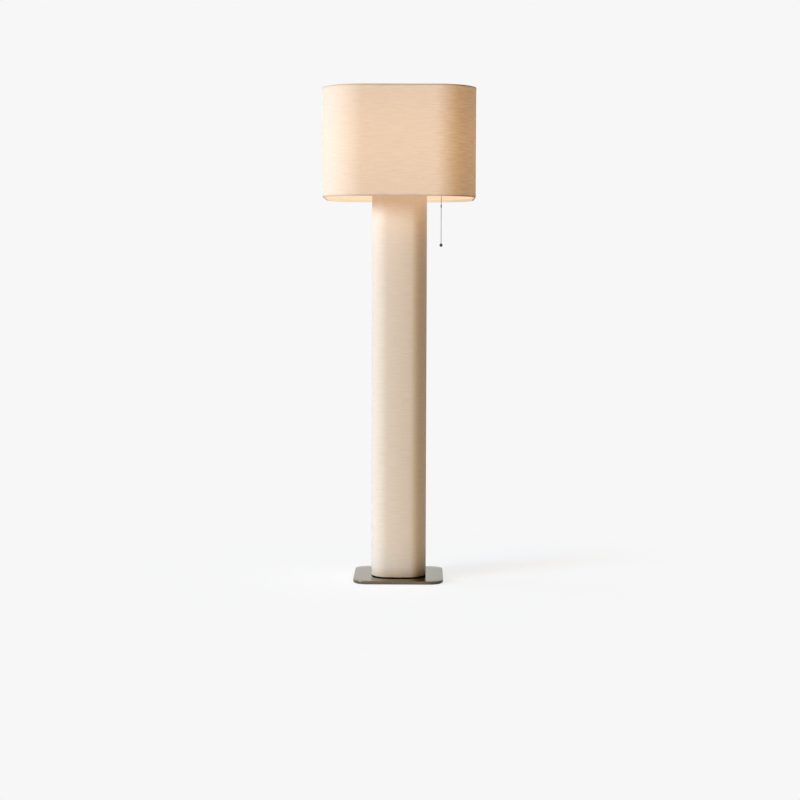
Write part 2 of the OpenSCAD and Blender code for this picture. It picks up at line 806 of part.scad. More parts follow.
// Box that is open at the front, where the cover closes it; its threaded collar points down
module switch_case() {
    collar_h = case_z - collar_end_z + case_wall;
    color(BLACK) difference() {
        union() {
            case_box(case_wall);
            translate([chain_x, 0, collar_end_z]) cylinder(r = collar_r, h = collar_h);
        }
        case_box(0);
        translate([case_low_x - 2 * case_wall, -case_half_y - 2 * case_wall, case_z - cut])
            cube([case_high_x - case_low_x + 4 * case_wall, 2 * case_wall,
                case_top_z - case_z + 2 * case_wall]);
        translate([chain_x, 0, collar_end_z - cut]) cylinder(r = collar_bore_r, h = collar_h + 2 * cut);
    }
}

module switch_cover() {
    color(BLACK) translate([case_low_x - case_wall, -case_half_y - case_wall, case_z])
        cube([case_high_x - case_low_x + 2 * case_wall, case_wall, case_top_z - case_z + case_wall]);
}

module about_rotor() {
    translate([rotor_x, 0, rotor_z]) rotate([-90, 0, 0]) children();
}

module switch_axle() {
    color(STEEL) about_rotor() translate([0, 0, -case_half_y]) cylinder(r = axle_r, h = 2 * case_half_y);
}

// Grooved drum for the chain, with a hub for the spring and a square cam for the contacts
module switch_rotor() {
    groove = groove_w / 2;
    color(WHITE) about_rotor() difference() {
        union() {
            translate([0, 0, -groove - flange_t]) cylinder(r = flange_r, h = flange_t);
            translate([0, 0, -groove]) cylinder(r = drum_r, h = groove_w);
            translate([0, 0, groove]) cylinder(r = flange_r, h = flange_t);
            translate([0, 0, rotor_half_w]) cylinder(r = rotor_hub_r, h = spring_w + free);
            translate([0, 0, -rotor_half_w - cam_w]) cylinder(r = cam_r, h = cam_w, $fn = 4);
        }
        translate([0, 0, -case_half_y]) cylinder(r = axle_r + fit, h = 2 * case_half_y);
    }
}

// Clock spring around the rotor's hub, its outer end against the case's floor side
module switch_spring() {
    inner_r = rotor_hub_r + free;
    strip = 0.5;
    turn_gap = 1.5;
    turns = 4;
    turn_steps = 16;
    steps = turn_steps * turns;
    function at(i, grow) = let(r = inner_r + grow + turn_gap * i / turn_steps, a = 360 * i / turn_steps)
        r * [cos(a), sin(a)];
    color(STEEL) about_rotor() translate([0, 0, rotor_half_w + free]) linear_extrude(spring_w - free)
        polygon([for (i = [0 : steps]) at(i, strip), for (i = [steps : -1 : 0]) at(i, 0)]);
}

module switch_contacts() {
    strip = 0.6;
    strip_h = 18;
    color(BRASS) for (s = [-1, 1]) translate([rotor_x + s * (cam_r + free + strip) - strip / 2, -case_half_y,
        case_z + case_wall]) cube([strip, cam_w, strip_h]);
}

module switch_nut() {
    color(BRASS) translate([chain_x, 0, bracket_z - collar_nut_h])
        hex_nut(collar_r, collar_nut_flat, collar_nut_h);
}

// Flared tip that the chain runs over
module switch_bell() {
    seat = collar_end_z - bell_z;
    outer_r = collar_r + bell_wall;
    color(BRASS) translate([chain_x, 0, bell_z]) rotate_extrude() polygon([
        [bell_lip_r, 0], [outer_r - bell_bevel, 0], [outer_r, bell_bevel], [outer_r, bell_h - bell_bevel],
        [outer_r - bell_bevel / 2, bell_h], [collar_r + fit, bell_h], [collar_r + fit, seat],
        [collar_bore_r, seat], [collar_bore_r, bell_throat_h]]);
}

module switch_leads() {
    start_x = cluster_d / 2 - cluster_wall - lead_tail;
    end_x = case_low_x - case_wall;
    dip = 3;
    level = 2 * lead_wire_d;
    span = end_x - start_x - 2 * level;
    sag_steps = 10;
    for (s = [-1, 1]) {
        sag = [for (i = [0 : sag_steps]) let(t = i / sag_steps)
            [start_x + level + span * t, s * lead_port_y, arm_z - dip * (1 - cos(360 * t)) / 2]];
        ends = [for (x = [0, level / 2, end_x - start_x - level / 2, end_x - start_x])
            [start_x + x, s * lead_port_y, arm_z]];
        color(s < 0 ? BLACK : WHITE) swept_tube(concat([ends[0], ends[1]], sag, [ends[2], ends[3]]),
            lead_wire_d, [0, 1, 0]);
    }
}

// Chain

// Beads of a straight chain hung down from its own Z = 0; the wire runs from wire_z down to wire_end_z
module beads(first, last, wire_z, wire_end_z) {
    rotate_extrude() intersection() {
        union() {
            for (i = [first : last]) translate([0, -bead_pitch * i]) circle(r = bead_r);
            translate([0, wire_end_z]) square([bead_link_d / 2, wire_z - wire_end_z]);
        }
        translate([0, wire_end_z - ball_d]) square([2 * bead_d, wire_z - wire_end_z + 2 * ball_d]);
    }
}

module chain_upper() {
    color(STEEL) translate([chain_x, 0, swing_z])
        beads(-upper_beads, -1, upper_beads * bead_pitch, bead_r + free);
}

module chain_swivel_bead() {
    color(STEEL) translate([chain_x, 0, swing_z]) sphere(r = bead_r);
}

module chain_lower() {
    color(STEEL) translate([chain_x, 0, swing_z])
        beads(1, lower_beads, -bead_r - free, -chain_run - ball_bore_depth + fit);
}

// Connector sleeve round two of the beads
module chain_connector() {
    color(STEEL) translate([chain_x, 0, connector_z - connector_h / 2])
        ring(connector_r, bead_r + seat_gap, connector_h);
}

// Ball with a short neck that holds the end of the chain's wire
module pull_ball() {
    color(BLACK) difference() {
        union() {
            translate([chain_x, 0, ball_z]) sphere(d = ball_d);
            translate([chain_x, 0, ball_z]) cylinder(r = ball_neck_r, h = ball_d / 2 + ball_neck_h);
        }
        translate([chain_x, 0, ball_z + ball_d / 2 + ball_neck_h - ball_bore_depth])
            cylinder(r = bead_link_d / 2 + seat_gap, h = ball_bore_depth + cut);
    }
}

base_plate();
base_felt();
base_screws();
base_inserts();
column_foot();
column_bottom_board();
column_core();
column_top_board();
column_cover();
column_top_plate();
top_plate_screws();
cord_outlet();
terminal_block();
supply_lead();
stem_tube();
stem_nuts();
stem_washer();
switch_bracket();
cluster_body();
cluster_lid();
riser_tube();
shade_seat();
finial_stud();
finial();
socket_arm("front");  // front_socket_arm
socket_arm("rear");  // rear_socket_arm
socket_cap("front");  // front_socket_cap
socket_cap("rear");  // rear_socket_cap
socket_sleeve("front");  // front_socket_sleeve
socket_sleeve("rear");  // rear_socket_sleeve
socket_insulator("front");  // front_socket_insulator
socket_insulator("rear");  // rear_socket_insulator
screw_shell("front");  // front_screw_shell
screw_shell("rear");  // rear_screw_shell
socket_contact("front");  // front_contact
socket_contact("rear");  // rear_contact
bulb_cap("front");  // front_bulb_cap
bulb_cap("rear");  // rear_bulb_cap
bulb_glass("front");  // front_bulb_glass
bulb_glass("rear");  // rear_bulb_glass
shade_top_ring();
shade_bottom_ring();
shade_spider();
shade_liner();
shade_linen();
shade_trims();
switch_case();
switch_cover();
switch_axle();
switch_rotor();
switch_spring();
switch_contacts();
switch_nut();
switch_bell();
switch_leads();
chain_upper();
chain_swivel_bead();
chain_lower();
chain_connector();
pull_ball();
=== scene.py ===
# %% [markdown]
# # A floor lamp covered in linen
# The lamp is a tall square column with large round corners, covered in cream linen, on a thin
# polished bronze plate. A shade of the same plan and the same cloth sits on top and is lit inside.
# A bead chain with a small black ball works the switch.
#
# The construction comes ready as a frame of solids, one for each part of the real lamp. Hidden parts
# keep their solids and get a finish. What the eye meets is made again here as finer surfaces, each
# one worked out with numpy: a function of two parameters on a grid, or a profile carried along a path.

# %% Load the frame
import math

import bmesh
import bpy
import numpy as np
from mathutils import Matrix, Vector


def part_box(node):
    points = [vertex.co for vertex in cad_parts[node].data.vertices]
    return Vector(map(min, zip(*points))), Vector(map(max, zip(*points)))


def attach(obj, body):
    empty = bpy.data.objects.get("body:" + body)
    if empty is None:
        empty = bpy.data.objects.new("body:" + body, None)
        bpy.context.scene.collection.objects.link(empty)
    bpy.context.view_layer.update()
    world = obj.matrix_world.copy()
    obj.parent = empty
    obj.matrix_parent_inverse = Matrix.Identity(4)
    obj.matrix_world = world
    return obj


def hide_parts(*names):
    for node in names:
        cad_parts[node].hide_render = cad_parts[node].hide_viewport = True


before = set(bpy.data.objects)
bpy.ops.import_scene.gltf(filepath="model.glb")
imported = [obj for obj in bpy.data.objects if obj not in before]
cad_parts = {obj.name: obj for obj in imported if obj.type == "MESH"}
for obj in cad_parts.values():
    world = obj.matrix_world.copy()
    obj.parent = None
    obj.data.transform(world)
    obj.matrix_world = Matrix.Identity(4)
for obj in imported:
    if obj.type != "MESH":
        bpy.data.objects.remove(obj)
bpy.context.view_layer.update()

MM = 0.001

# %% [markdown]
# ## The camera
# The picture was taken from just under a metre high, 5.3 m away, with a long lens, so upright lines
# stay nearly parallel. A level camera with its lens shifted would do the same. A slight tilt with
# only a touch of shift was chosen, because it keeps the lamp centred when the camera moves round it.
# The lamp leans to the right by a sixth of a degree in the picture, and the camera rolls to match.

# %% Place the camera
CAMERA_PLACE = (0.0692, -5.2629, 0.950)
CAMERA_TILT = 3.513
CAMERA_ROLL = -0.165
CAMERA_PAN = 0.734
CAMERA_LENS = 76.643
CAMERA_SHIFT = -0.03

camera = bpy.data.objects.new("camera", bpy.data.cameras.new("camera"))
camera.data.lens = CAMERA_LENS
camera.data.sensor_width = 36
camera.data.clip_end = 60
camera.data.shift_y = CAMERA_SHIFT
camera.location = CAMERA_PLACE
camera.rotation_euler = np.radians((90 - CAMERA_TILT, CAMERA_ROLL, CAMERA_PAN))
bpy.context.scene.collection.objects.link(camera)
bpy.context.scene.camera = camera
print("camera:", CAMERA_LENS, "mm lens, tilted", CAMERA_TILT, "degrees")

# %% [markdown]
# ## From a grid of points to a mesh
# Most pieces below are a grid of points: rows along one parameter, columns along the other. The
# helper joins neighbours into quads. A direction that runs right round is closed on itself, so the
# surface has no seam, and points that fall together at a pole are merged. The cloth also needs a
# flat map in real metres, so that its threads have the same size everywhere.
#
# Faces have to point outwards. Blender judges that by the outermost face, which a small fold can
# mislead, so a closed surface whose volume comes out negative is turned afterwards.

# %% Make a mesh from a grid
def surface(name, grid, close_rows=False, close_columns=False, flat=None, sharp=35):
    """Mesh of a grid of points of shape (rows, columns, 3). Each face joins point (i, j) with its
    neighbours (i, j + 1), (i + 1, j + 1) and (i + 1, j). flat holds the row and column distances in
    metres for a map, with one more value where that direction is closed."""
    rows, columns = grid.shape[:2]
    number = np.arange(rows * columns).reshape(rows, columns)
    if close_rows:
        number = np.vstack([number, number[:1]])
    if close_columns:
        number = np.hstack([number, number[:, :1]])
    faces = np.stack([number[:-1, :-1], number[:-1, 1:], number[1:, 1:], number[1:, :-1]], -1)
    mesh = bpy.data.meshes.new(name)
    mesh.from_pydata(grid.reshape(-1, 3).tolist(), [], faces.reshape(-1, 4).tolist())
    if flat is not None:
        down, across = np.meshgrid(flat[0], flat[1], indexing="ij")
        place = np.stack([across, down], -1)
        corners = np.stack([place[:-1, :-1], place[:-1, 1:], place[1:, 1:], place[1:, :-1]], 2)
        mesh.uv_layers.new(name="cloth").data.foreach_set("uv", corners.ravel())
    work = bmesh.new()
    work.from_mesh(mesh)
    bmesh.ops.remove_doubles(work, verts=work.verts, dist=1e-6)
    bmesh.ops.recalc_face_normals(work, faces=work.faces)
    volume = work.calc_volume(signed=True)
    work.to_mesh(mesh)
    work.free()
    is_closed = len(mesh.loops) == 2 * len(mesh.edges)
    if is_closed and volume < 0:
        mesh.flip_normals()
        print(name, "was inside out and is turned")
    mesh.shade_smooth()
    mesh.set_sharp_from_angle(angle=math.radians(sharp))
    piece = bpy.data.objects.new(name, mesh)
    bpy.context.scene.collection.objects.link(piece)
    return piece

# %% [markdown]
# ## The plan of the lamp
# Column, shade, plate and felt all share one plan: a square whose corners are large arcs. A path
# that is measured by its own length suits cloth, because a thread that runs round the lamp then
# keeps its spacing. The path starts at the middle of the back, where the cloth has its seam.

# %% Walk round a square with round corners
def quarter_turns(turns, x, y, angle):
    """Points (x, y) and normals (sin angle, cos angle) of the first quarter, each turned clockwise
    by its number of right angles."""
    c, s = np.cos(turns * math.pi / 2), np.sin(turns * math.pi / 2)
    nx, ny = np.sin(angle), np.cos(angle)
    points = np.stack([c * x + s * y, c * y - s * x], -1)
    return points, np.stack([c * nx + s * ny, c * ny - s * nx], -1)


def steps_along(straight, arc, per_arc, per_side, seam):
    """Distances of the grid's columns: even steps in each corner and each half side, and extra ones
    beside the seam at the start. Returns the length of the whole way too."""
    quarter = np.concatenate([
        np.linspace(0, straight, per_side, endpoint=False),
        straight + np.linspace(0, arc, per_arc, endpoint=False),
        straight + arc + np.linspace(0, straight, per_side, endpoint=False)])
    length = 2 * straight + arc
    way = (quarter[None, :] + length * np.arange(4)[:, None]).ravel()
    return np.unique(np.round(np.concatenate([way, seam]), 7)), 4 * length


def round_plan(half, corner, per_arc=24, per_side=8, seam=()):
    """A square of half width half with corners of radius corner. In each quarter the point runs
    straight, then turns through (distance past the straight) / corner, then runs straight again.
    Returns points, outward normals, distances from the middle of the back, and the whole length."""
    straight, arc = half - corner, corner * math.pi / 2
    way, length = steps_along(straight, arc, per_arc, per_side, seam)
    turns, t = np.divmod(way, length / 4)
    angle = np.clip((t - straight) / corner, 0, math.pi / 2)
    x = np.minimum(t, straight) + corner * np.sin(angle)
    y = half - corner * (1 - np.cos(angle)) - np.maximum(t - straight - arc, 0)
    return (*quarter_turns(turns, x, y, angle), way, length)

# %% Bow its sides
def bowed_plan(half, reach, bow, per_arc=24, per_side=8, seam=()):
    """A square whose sides bow out: each side is a wide arc that turns through the angle bow on both
    sides of its middle, and each corner is a tight arc. half is the half width at the middle of a
    side, and the middle of a corner lies at (reach, reach). Both radii follow from that:
    wide sin b + tight (sin 45 - sin b) = reach, wide (1 - cos b) + tight (cos b - cos 45) = half - reach."""
    sin_b, cos_b, sin_c = math.sin(bow), math.cos(bow), math.sqrt(0.5)
    wide, tight = np.linalg.solve([[sin_b, sin_c - sin_b], [1 - cos_b, cos_b - sin_c]],
                                  [reach, half - reach])
    side, arc = wide * bow, tight * (math.pi / 2 - 2 * bow)
    way, length = steps_along(side, arc, per_arc, per_side, seam)
    turns, t = np.divmod(way, length / 4)
    first = np.minimum(t, side) / wide
    second = np.clip(t - side, 0, arc) / tight
    angle = first + second + np.maximum(t - side - arc, 0) / wide
    early, late = np.minimum(angle, bow), np.maximum(angle, math.pi / 2 - bow)
    middle = np.clip(angle, bow, math.pi / 2 - bow)
    x = wide * (np.sin(early) + np.sin(late) - cos_b) + tight * (np.sin(middle) - sin_b)
    y = half - wide * (1 - np.cos(early) + sin_b - np.cos(late)) - tight * (cos_b - np.cos(middle))
    print("bowed plan: wide radius", round(wide, 4), "tight radius", round(tight, 4))
    return (*quarter_turns(turns, x, y, angle), way, length)

# %% Carry a profile round the plan
def carried(name, profile, plan, proud=0.0, **settings):
    """A closed profile of (distance outwards from the plan, height) carried round the plan: point =
    plan point + (outward distance + proud) * normal, at the profile's height."""
    points, normals, way, length = plan
    outward = profile[:, 0][:, None] + proud
    grid = np.empty((len(profile), len(way), 3))
    grid[..., :2] = points[None] + (outward + 0 * way)[..., None] * normals[None]
    grid[..., 2] = profile[:, 1][:, None]
    gaps = np.linalg.norm(np.roll(profile, -1, axis=0) - profile, axis=1)
    down = np.concatenate([[0], np.cumsum(gaps)])
    return surface(name, grid, True, True, (down, np.append(way, length)), **settings)


def arc_points(centre, radius, start, end, count):
    """Points on an arc: centre + radius * (cos a, sin a) for angles a from start to end in degrees."""
    a = np.radians(np.linspace(start, end, count))
    return np.stack([centre[0] + radius * np.cos(a), centre[1] + radius * np.sin(a)], -1)

# %% [markdown]
# ## Turned pieces
# Bulbs, the finial, the chain and its ball are round about an upright line. A lathe is the natural
# way: a half outline turned round the line. Both ends close on the line itself.

# %% Turn an outline
def turned(name, outline, centre, around=48, twist=None, closed=False, **settings):
    """An outline of (radius, height) turned about an upright line through centre: point = centre +
    (radius * cos a, radius * sin a, height). twist adds to the radius at each height and angle, and
    closed joins the outline's end to its start."""
    a = np.linspace(0, 2 * math.pi, around, endpoint=False)
    height = np.repeat(outline[:, 1][:, None], around, axis=1)
    radius = outline[:, 0][:, None] + (0 * height if twist is None else twist(height, a))
    grid = np.stack([centre[0] + radius * np.cos(a), centre[1] + radius * np.sin(a),
                     centre[2] + height], -1)
    return surface(name, grid, closed, True, **settings)


def smooth_line(points, per_span=8):
    """A smooth curve through the given points: on each span a cubic whose slope at each point is
    half the difference of the point's two neighbours."""
    p = np.asarray(points, float)
    slope = np.gradient(p, axis=0)
    t = np.linspace(0, 1, per_span, endpoint=False)[None, :, None]
    a, b, ma, mb = p[:-1, None], p[1:, None], slope[:-1, None], slope[1:, None]
    curve = (a * (2 * t**3 - 3 * t**2 + 1) + ma * (t**3 - 2 * t**2 + t)
             + b * (3 * t**2 - 2 * t**3) + mb * (t**3 - t**2))
    return np.vstack([curve.reshape(-1, p.shape[1]), p[-1:]])

# %% [markdown]
# ## Building a material from nodes
# Every finish is procedural. These few helpers put in a node, do arithmetic and sample noise, so
# that each recipe below reads in the order in which it works.

# %% Node helpers
def new_finish(name, **values):
    """A material with a Principled shader, whose plain values are set on its own sockets."""
    finish = bpy.data.materials.new(name)
    finish.use_nodes = True
    shader = finish.node_tree.nodes["Principled BSDF"]
    for socket, value in values.items():
        shader.inputs[socket.replace("_", " ")].default_value = value
    return finish, finish.node_tree, shader


def put(tree, kind, inputs, **settings):
    """Adds a node; each input is a value or another node's output."""
    made = tree.nodes.new(kind)
    for key, value in settings.items():
        setattr(made, key, value)
    for key, value in inputs.items():
        if isinstance(value, bpy.types.NodeSocket):
            tree.links.new(value, made.inputs[key])
        else:
            made.inputs[key].default_value = value
    return made

# %% Sums and patterns
def work_out(tree, operation, *values, clamp=False):
    """The result of one sum on numbers or outputs."""
    made = put(tree, "ShaderNodeMath", dict(enumerate(values)), operation=operation, use_clamp=clamp)
    return made.outputs[0]


def stretched(tree, place, factors):
    """The place multiplied by a factor for each axis; a small factor draws a pattern out that way."""
    return put(tree, "ShaderNodeVectorMath", {0: place, 1: factors}, operation="MULTIPLY").outputs[0]


def noise(tree, place, scale=1.0, detail=2.0, roughness=0.5):
    """Smooth noise from 0 to 1 at a place."""
    return put(tree, "ShaderNodeTexNoise", {"Vector": place, "Scale": scale, "Detail": detail,
                                            "Roughness": roughness}).outputs["Fac"]

# %% Colours, ranges and relief
def between(tree, factor, low, high, **settings):
    """A colour between two, each given as three numbers or as a node's output."""
    ends = [end if isinstance(end, bpy.types.NodeSocket) else (*end, 1) for end in (low, high)]
    mix = put(tree, "ShaderNodeMix", {0: factor, 6: ends[0], 7: ends[1]}, data_type="RGBA", **settings)
    return mix.outputs[2]


def multiplied(tree, colour, share):
    """A colour times a grey or another colour."""
    return between(tree, 1.0, colour, share, blend_type="MULTIPLY")


def spread(tree, value, low, high, new_low, new_high):
    """A number moved from one range to another and held inside it."""
    return put(tree, "ShaderNodeMapRange", {"Value": value, "From Min": low, "From Max": high,
                                            "To Min": new_low, "To Max": new_high}).outputs[0]


def raised(tree, shader, height, distance, strength=1.0):
    """Bump of a height from 0 to 1 that stands up to distance metres."""
    bump = put(tree, "ShaderNodeBump", {"Height": height, "Distance": distance, "Strength": strength})
    tree.links.new(bump.outputs[0], shader.inputs["Normal"])

# %% Places on the object
def object_place(tree):
    """Where a point lies on the object, in metres."""
    return put(tree, "ShaderNodeTexCoord", {}).outputs["Object"]


def coordinate(tree, axis):
    """How far a point of the object lies along X (0), Y (1) or Z (2)."""
    return put(tree, "ShaderNodeSeparateXYZ", {0: object_place(tree)}).outputs[axis]

# %% [markdown]
# ## Linen
# The cloth is a plain weave of uneven flax yarn, about one thread to a millimetre. Seen from a
# distance its threads vanish, and what remains are slubs: uneven places in the yarn, a few
# centimetres long and about three threads wide, more of them across than upright. They differ a
# little in colour and stand up, so they show most where light grazes the cloth. On the column the
# cloth is stretched over wood and glued flat, on the shade it stands freer, so the shade has the
# higher relief. A photograph of cloth could be wrapped round, but threads worked out from the
# cloth's own map stay sharp in a close look.
#
# The shade is lit from inside. Its glow follows the same slubs, weaker and redder where more yarn is in the
# way, and is strongest level with the bulbs. On the shade's right the slubs' tones, in colour and in glow,
# spread further than on its front. That is a painted stand-in for light grazing that side; the relief is the
# same all round. At the column's foot the cloth is painted a little darker and warmer. That is painted shade
# where the plate hides the floor's light, and painted warm light thrown up by the bronze.

# %% Choose the linen's numbers
LINEN_LIGHT = (0.815, 0.70, 0.57)
LINEN_DARK = (0.655, 0.545, 0.425)
THREAD = 0.95 * MM
WEAVE_HEIGHT = 0.06 * MM
CLOTH_SHEEN = {"Roughness": 0.9, "Specular_IOR_Level": 0.15, "Sheen_Weight": 0.06, "Sheen_Roughness": 0.5}
WEFT_SLUB = (40 * MM, 3.2 * MM)
WARP_SLUB = (3.2 * MM, 40 * MM)
WEFT_SHARE, WARP_SHARE = 0.82, 0.18
# Painted light: the slubs' tones spread further on the shade's right than on its front, a painted stand-in
# for light grazing that side.
FRONT_SLUB_SHARE, GRAZED_SLUB_SHARE = 0.6, 2.4
GRAZED_SLUB_START, GRAZED_SLUB_END = 0.10, 0.18
# Painted light at the column's foot: over its lowest few centimetres the cloth's colour is made darker and
# warmer. That is painted shade where the plate hides the floor's light, and painted warm light thrown up by
# the bronze.
FOOT_RISE = (0.012, 0.042)
FOOT_PAINTED_SHADE = (0.86, 0.74, 0.60)
BULB_HEIGHT = 1.335
SHADE_GLOW = (0.174, 0.080, 0.025)
GLOW_LEVEL, GLOW_RIM = 1.25, 0.85
GLOW_BEHIND_YARN = np.array([0.88, 0.82, 0.72])
GLOW_BETWEEN_YARN = 2 - GLOW_BEHIND_YARN
print("linen: thread", THREAD, "m, glow", SHADE_GLOW)

# %% Weave the threads
def threads(tree, cloth):
    """Weave and slubs. The height of a warp thread is |sin(pi u / thread)| and that of a weft thread
    |sin(pi v / thread)|; the product of both sines says which one is on top. The slubs are two
    noises, one drawn out across and one upright, and they also make the threads wander."""
    weft_slub = noise(tree, stretched(tree, cloth, (1 / WEFT_SLUB[0], 1 / WEFT_SLUB[1], 1)), detail=1)
    warp_slub = noise(tree, stretched(tree, cloth, (1 / WARP_SLUB[0], 1 / WARP_SLUB[1], 1)), detail=1)
    parts = put(tree, "ShaderNodeSeparateXYZ", {0: cloth})
    wave = {}
    for axis, slub in ((0, warp_slub), (1, weft_slub)):
        count = work_out(tree, "DIVIDE", parts.outputs[axis], THREAD)
        wander = work_out(tree, "MULTIPLY_ADD", slub, 1.2, count)
        wave[axis] = work_out(tree, "SINE", work_out(tree, "MULTIPLY", wander, math.pi))
    both = work_out(tree, "MULTIPLY", wave[0], wave[1])
    on_top = work_out(tree, "MULTIPLY_ADD", both, 2.5, 0.5, clamp=True)
    warp = work_out(tree, "MULTIPLY", work_out(tree, "ABSOLUTE", wave[0]), on_top)
    under = work_out(tree, "SUBTRACT", 1.0, on_top)
    weft = work_out(tree, "MULTIPLY", work_out(tree, "ABSOLUTE", wave[1]), under)
    upright = work_out(tree, "MULTIPLY", warp_slub, WARP_SHARE)
    slubs = work_out(tree, "MULTIPLY_ADD", weft_slub, WEFT_SHARE, upright)
    return work_out(tree, "MAXIMUM", warp, weft), slubs

# %% Mix the linen
def level_distance(tree, level):
    """How far a point lies above or below a level."""
    return work_out(tree, "ABSOLUTE", work_out(tree, "SUBTRACT", coordinate(tree, 2), level))


def linen(name, slub_height, contrast, glow=None):
    """Cloth whose tone and height follow its weave and slubs. slub_height is how far a slub stands up, and
    contrast is the share of the tones that it spans. A glow makes it the shade's cloth. There the tones of
    the slubs, in colour and glow, are also made weaker on the front or stronger on the right by their place
    along X. That is a painted stand-in for light grazing the right side."""
    finish, tree, shader = new_finish(name, **CLOTH_SHEEN)
    cloth = put(tree, "ShaderNodeUVMap", {}, uv_map="cloth").outputs[0]
    weave, slubs = threads(tree, cloth)
    cloud = noise(tree, stretched(tree, cloth, (9, 9, 1)), detail=2)
    share = 1.0
    if glow:
        # Painted light: the slubs' colour and glow are strengthened towards +X, standing in for grazing
        # light there.
        share = spread(tree, coordinate(tree, 0), GRAZED_SLUB_START, GRAZED_SLUB_END, FRONT_SLUB_SHARE, GRAZED_SLUB_SHARE)
    uneven = work_out(tree, "MULTIPLY_ADD", work_out(tree, "SUBTRACT", slubs, 0.5), share, 0.5)
    tone = spread(tree, work_out(tree, "MULTIPLY_ADD", cloud, 0.12, uneven), 0.36, 0.76,
                  0.6 - contrast / 2, 0.6 + contrast / 2)
    tone = work_out(tree, "MULTIPLY_ADD", work_out(tree, "SUBTRACT", weave, 0.7), 0.28, tone, clamp=True)
    # Painted shade and painted warm light: the colour darkens and warms towards the foot.
    above_foot = spread(tree, coordinate(tree, 2), *FOOT_RISE, 0, 1)
    foot = between(tree, above_foot, FOOT_PAINTED_SHADE, (1, 1, 1))
    colour = multiplied(tree, between(tree, tone, LINEN_DARK, LINEN_LIGHT), foot)
    tree.links.new(colour, shader.inputs["Base Color"])
    height = work_out(tree, "MULTIPLY_ADD", weave, WEAVE_HEIGHT / slub_height, slubs)
    raised(tree, shader, height, slub_height)
    if glow:
        through = spread(tree, uneven, 0.36, 0.64, 0.0, 1.0)
        behind, clear = glow * GLOW_BEHIND_YARN, glow * GLOW_BETWEEN_YARN
        tree.links.new(between(tree, through, behind, clear), shader.inputs["Emission Color"])
        strength = spread(tree, level_distance(tree, BULB_HEIGHT), 0.03, 0.17, GLOW_LEVEL, GLOW_RIM)
        tree.links.new(strength, shader.inputs["Emission Strength"])
    return finish


finishes = {
    "column_linen": linen("column_linen", 0.35 * MM, 0.35),
    "shade_linen": linen("shade_linen", 1.1 * MM, 0.3, SHADE_GLOW),
}
print("linens:", ", ".join(finishes))

# %% [markdown]
# ## The tape on the shade's edges
# The tape is cut from the same linen. Its outer leg lies on the glowing cloth and looks like it. Over the
# wire no light comes through, so the glow stops there. The tape's colour there is also painted darker as a
# painted shade, darkest on the right, away from the key lights. Inside, the tape catches the full light of
# the bulbs. The tape's own map counts from the outer leg's end, so the three zones follow from it.

# %% Mix the tape
TAPE_LIT = (0.775, 0.625, 0.41)
TAPE_LINE = (4.4 * MM, 5.2 * MM, 10.5 * MM, 12.5 * MM)
# Painted shade on the tape's dark line: its colour is multiplied by these, the first on the left and the
# second on the right.
TAPE_PAINTED_SHADE_LEFT, TAPE_PAINTED_SHADE_RIGHT = 0.65, 0.36


def tape():
    """Outer leg: linen with the shade's glow. From the first to the second place of TAPE_LINE it loses its
    glow, and its colour is painted darker, a painted shade that deepens towards the right along X. From the
    third to the fourth it turns to the bright inside."""
    finish, tree, shader = new_finish("linen_tape", **CLOTH_SHEEN)
    cloth = put(tree, "ShaderNodeUVMap", {}, uv_map="cloth").outputs[0]
    weave, slubs = threads(tree, cloth)
    across = put(tree, "ShaderNodeSeparateXYZ", {0: cloth}).outputs[1]
    start, dark, light, lit = TAPE_LINE
    line = spread(tree, across, start, dark, 0.0, 1.0)
    inside = spread(tree, across, light, lit, 0.0, 1.0)
    tone = spread(tree, slubs, 0.3, 0.7, 0.0, 1.0)
    plain = between(tree, tone, LINEN_DARK, LINEN_LIGHT)
    # Painted shade: the line's colour is darkened, more towards the right.
    painted_line_shade = spread(tree, coordinate(tree, 0), 0.09, 0.19, TAPE_PAINTED_SHADE_LEFT, TAPE_PAINTED_SHADE_RIGHT)
    colour = between(tree, line, plain, multiplied(tree, plain, painted_line_shade))
    tree.links.new(colour, shader.inputs["Base Color"])
    height = work_out(tree, "MULTIPLY_ADD", weave, 0.2, slubs)
    raised(tree, shader, height, 0.8 * MM)
    glow = between(tree, inside, between(tree, line, SHADE_GLOW, (0, 0, 0)), TAPE_LIT)
    tree.links.new(glow, shader.inputs["Emission Color"])
    shader.inputs["Emission Strength"].default_value = 0.8
    return finish


finishes["linen_tape"] = tape()
print("tape: dark line", TAPE_LINE[1], "to", TAPE_LINE[2], "m from its edge")

# %% [markdown]
# ## The shade's liner
# Inside the linen is a thin sheet of white plastic film that carries it and spreads the light. It
# looks evenly bright, a little brighter level with the bulbs. A warm glow of its own stands for
# the light that runs back and forth inside, which would take many bounces to work out.

# %% Mix the liner
LINER_GLOW = (1.0, 0.62, 0.45)
LINER_LEVEL, LINER_RIM = 0.51, 0.42


def liner_film():
    """White film, a little mottled, with a glow that weakens away from the level of the bulbs."""
    finish, tree, shader = new_finish("shade_liner", Roughness=0.45, Emission_Color=(*LINER_GLOW, 1))
    mottle = noise(tree, object_place(tree), 60, 3)
    white = between(tree, mottle, (0.80, 0.78, 0.74), (0.90, 0.88, 0.84))
    tree.links.new(white, shader.inputs["Base Color"])
    strength = spread(tree, level_distance(tree, BULB_HEIGHT), 0.05, 0.16, LINER_LEVEL, LINER_RIM)
    tree.links.new(strength, shader.inputs["Emission Strength"])
    raised(tree, shader, mottle, 0.05 * MM, 0.3)
    return finish


finishes["shade_liner"] = liner_film()
print("liner glow:", LINER_LEVEL, "level with the bulbs,", LINER_RIM, "at the rims")
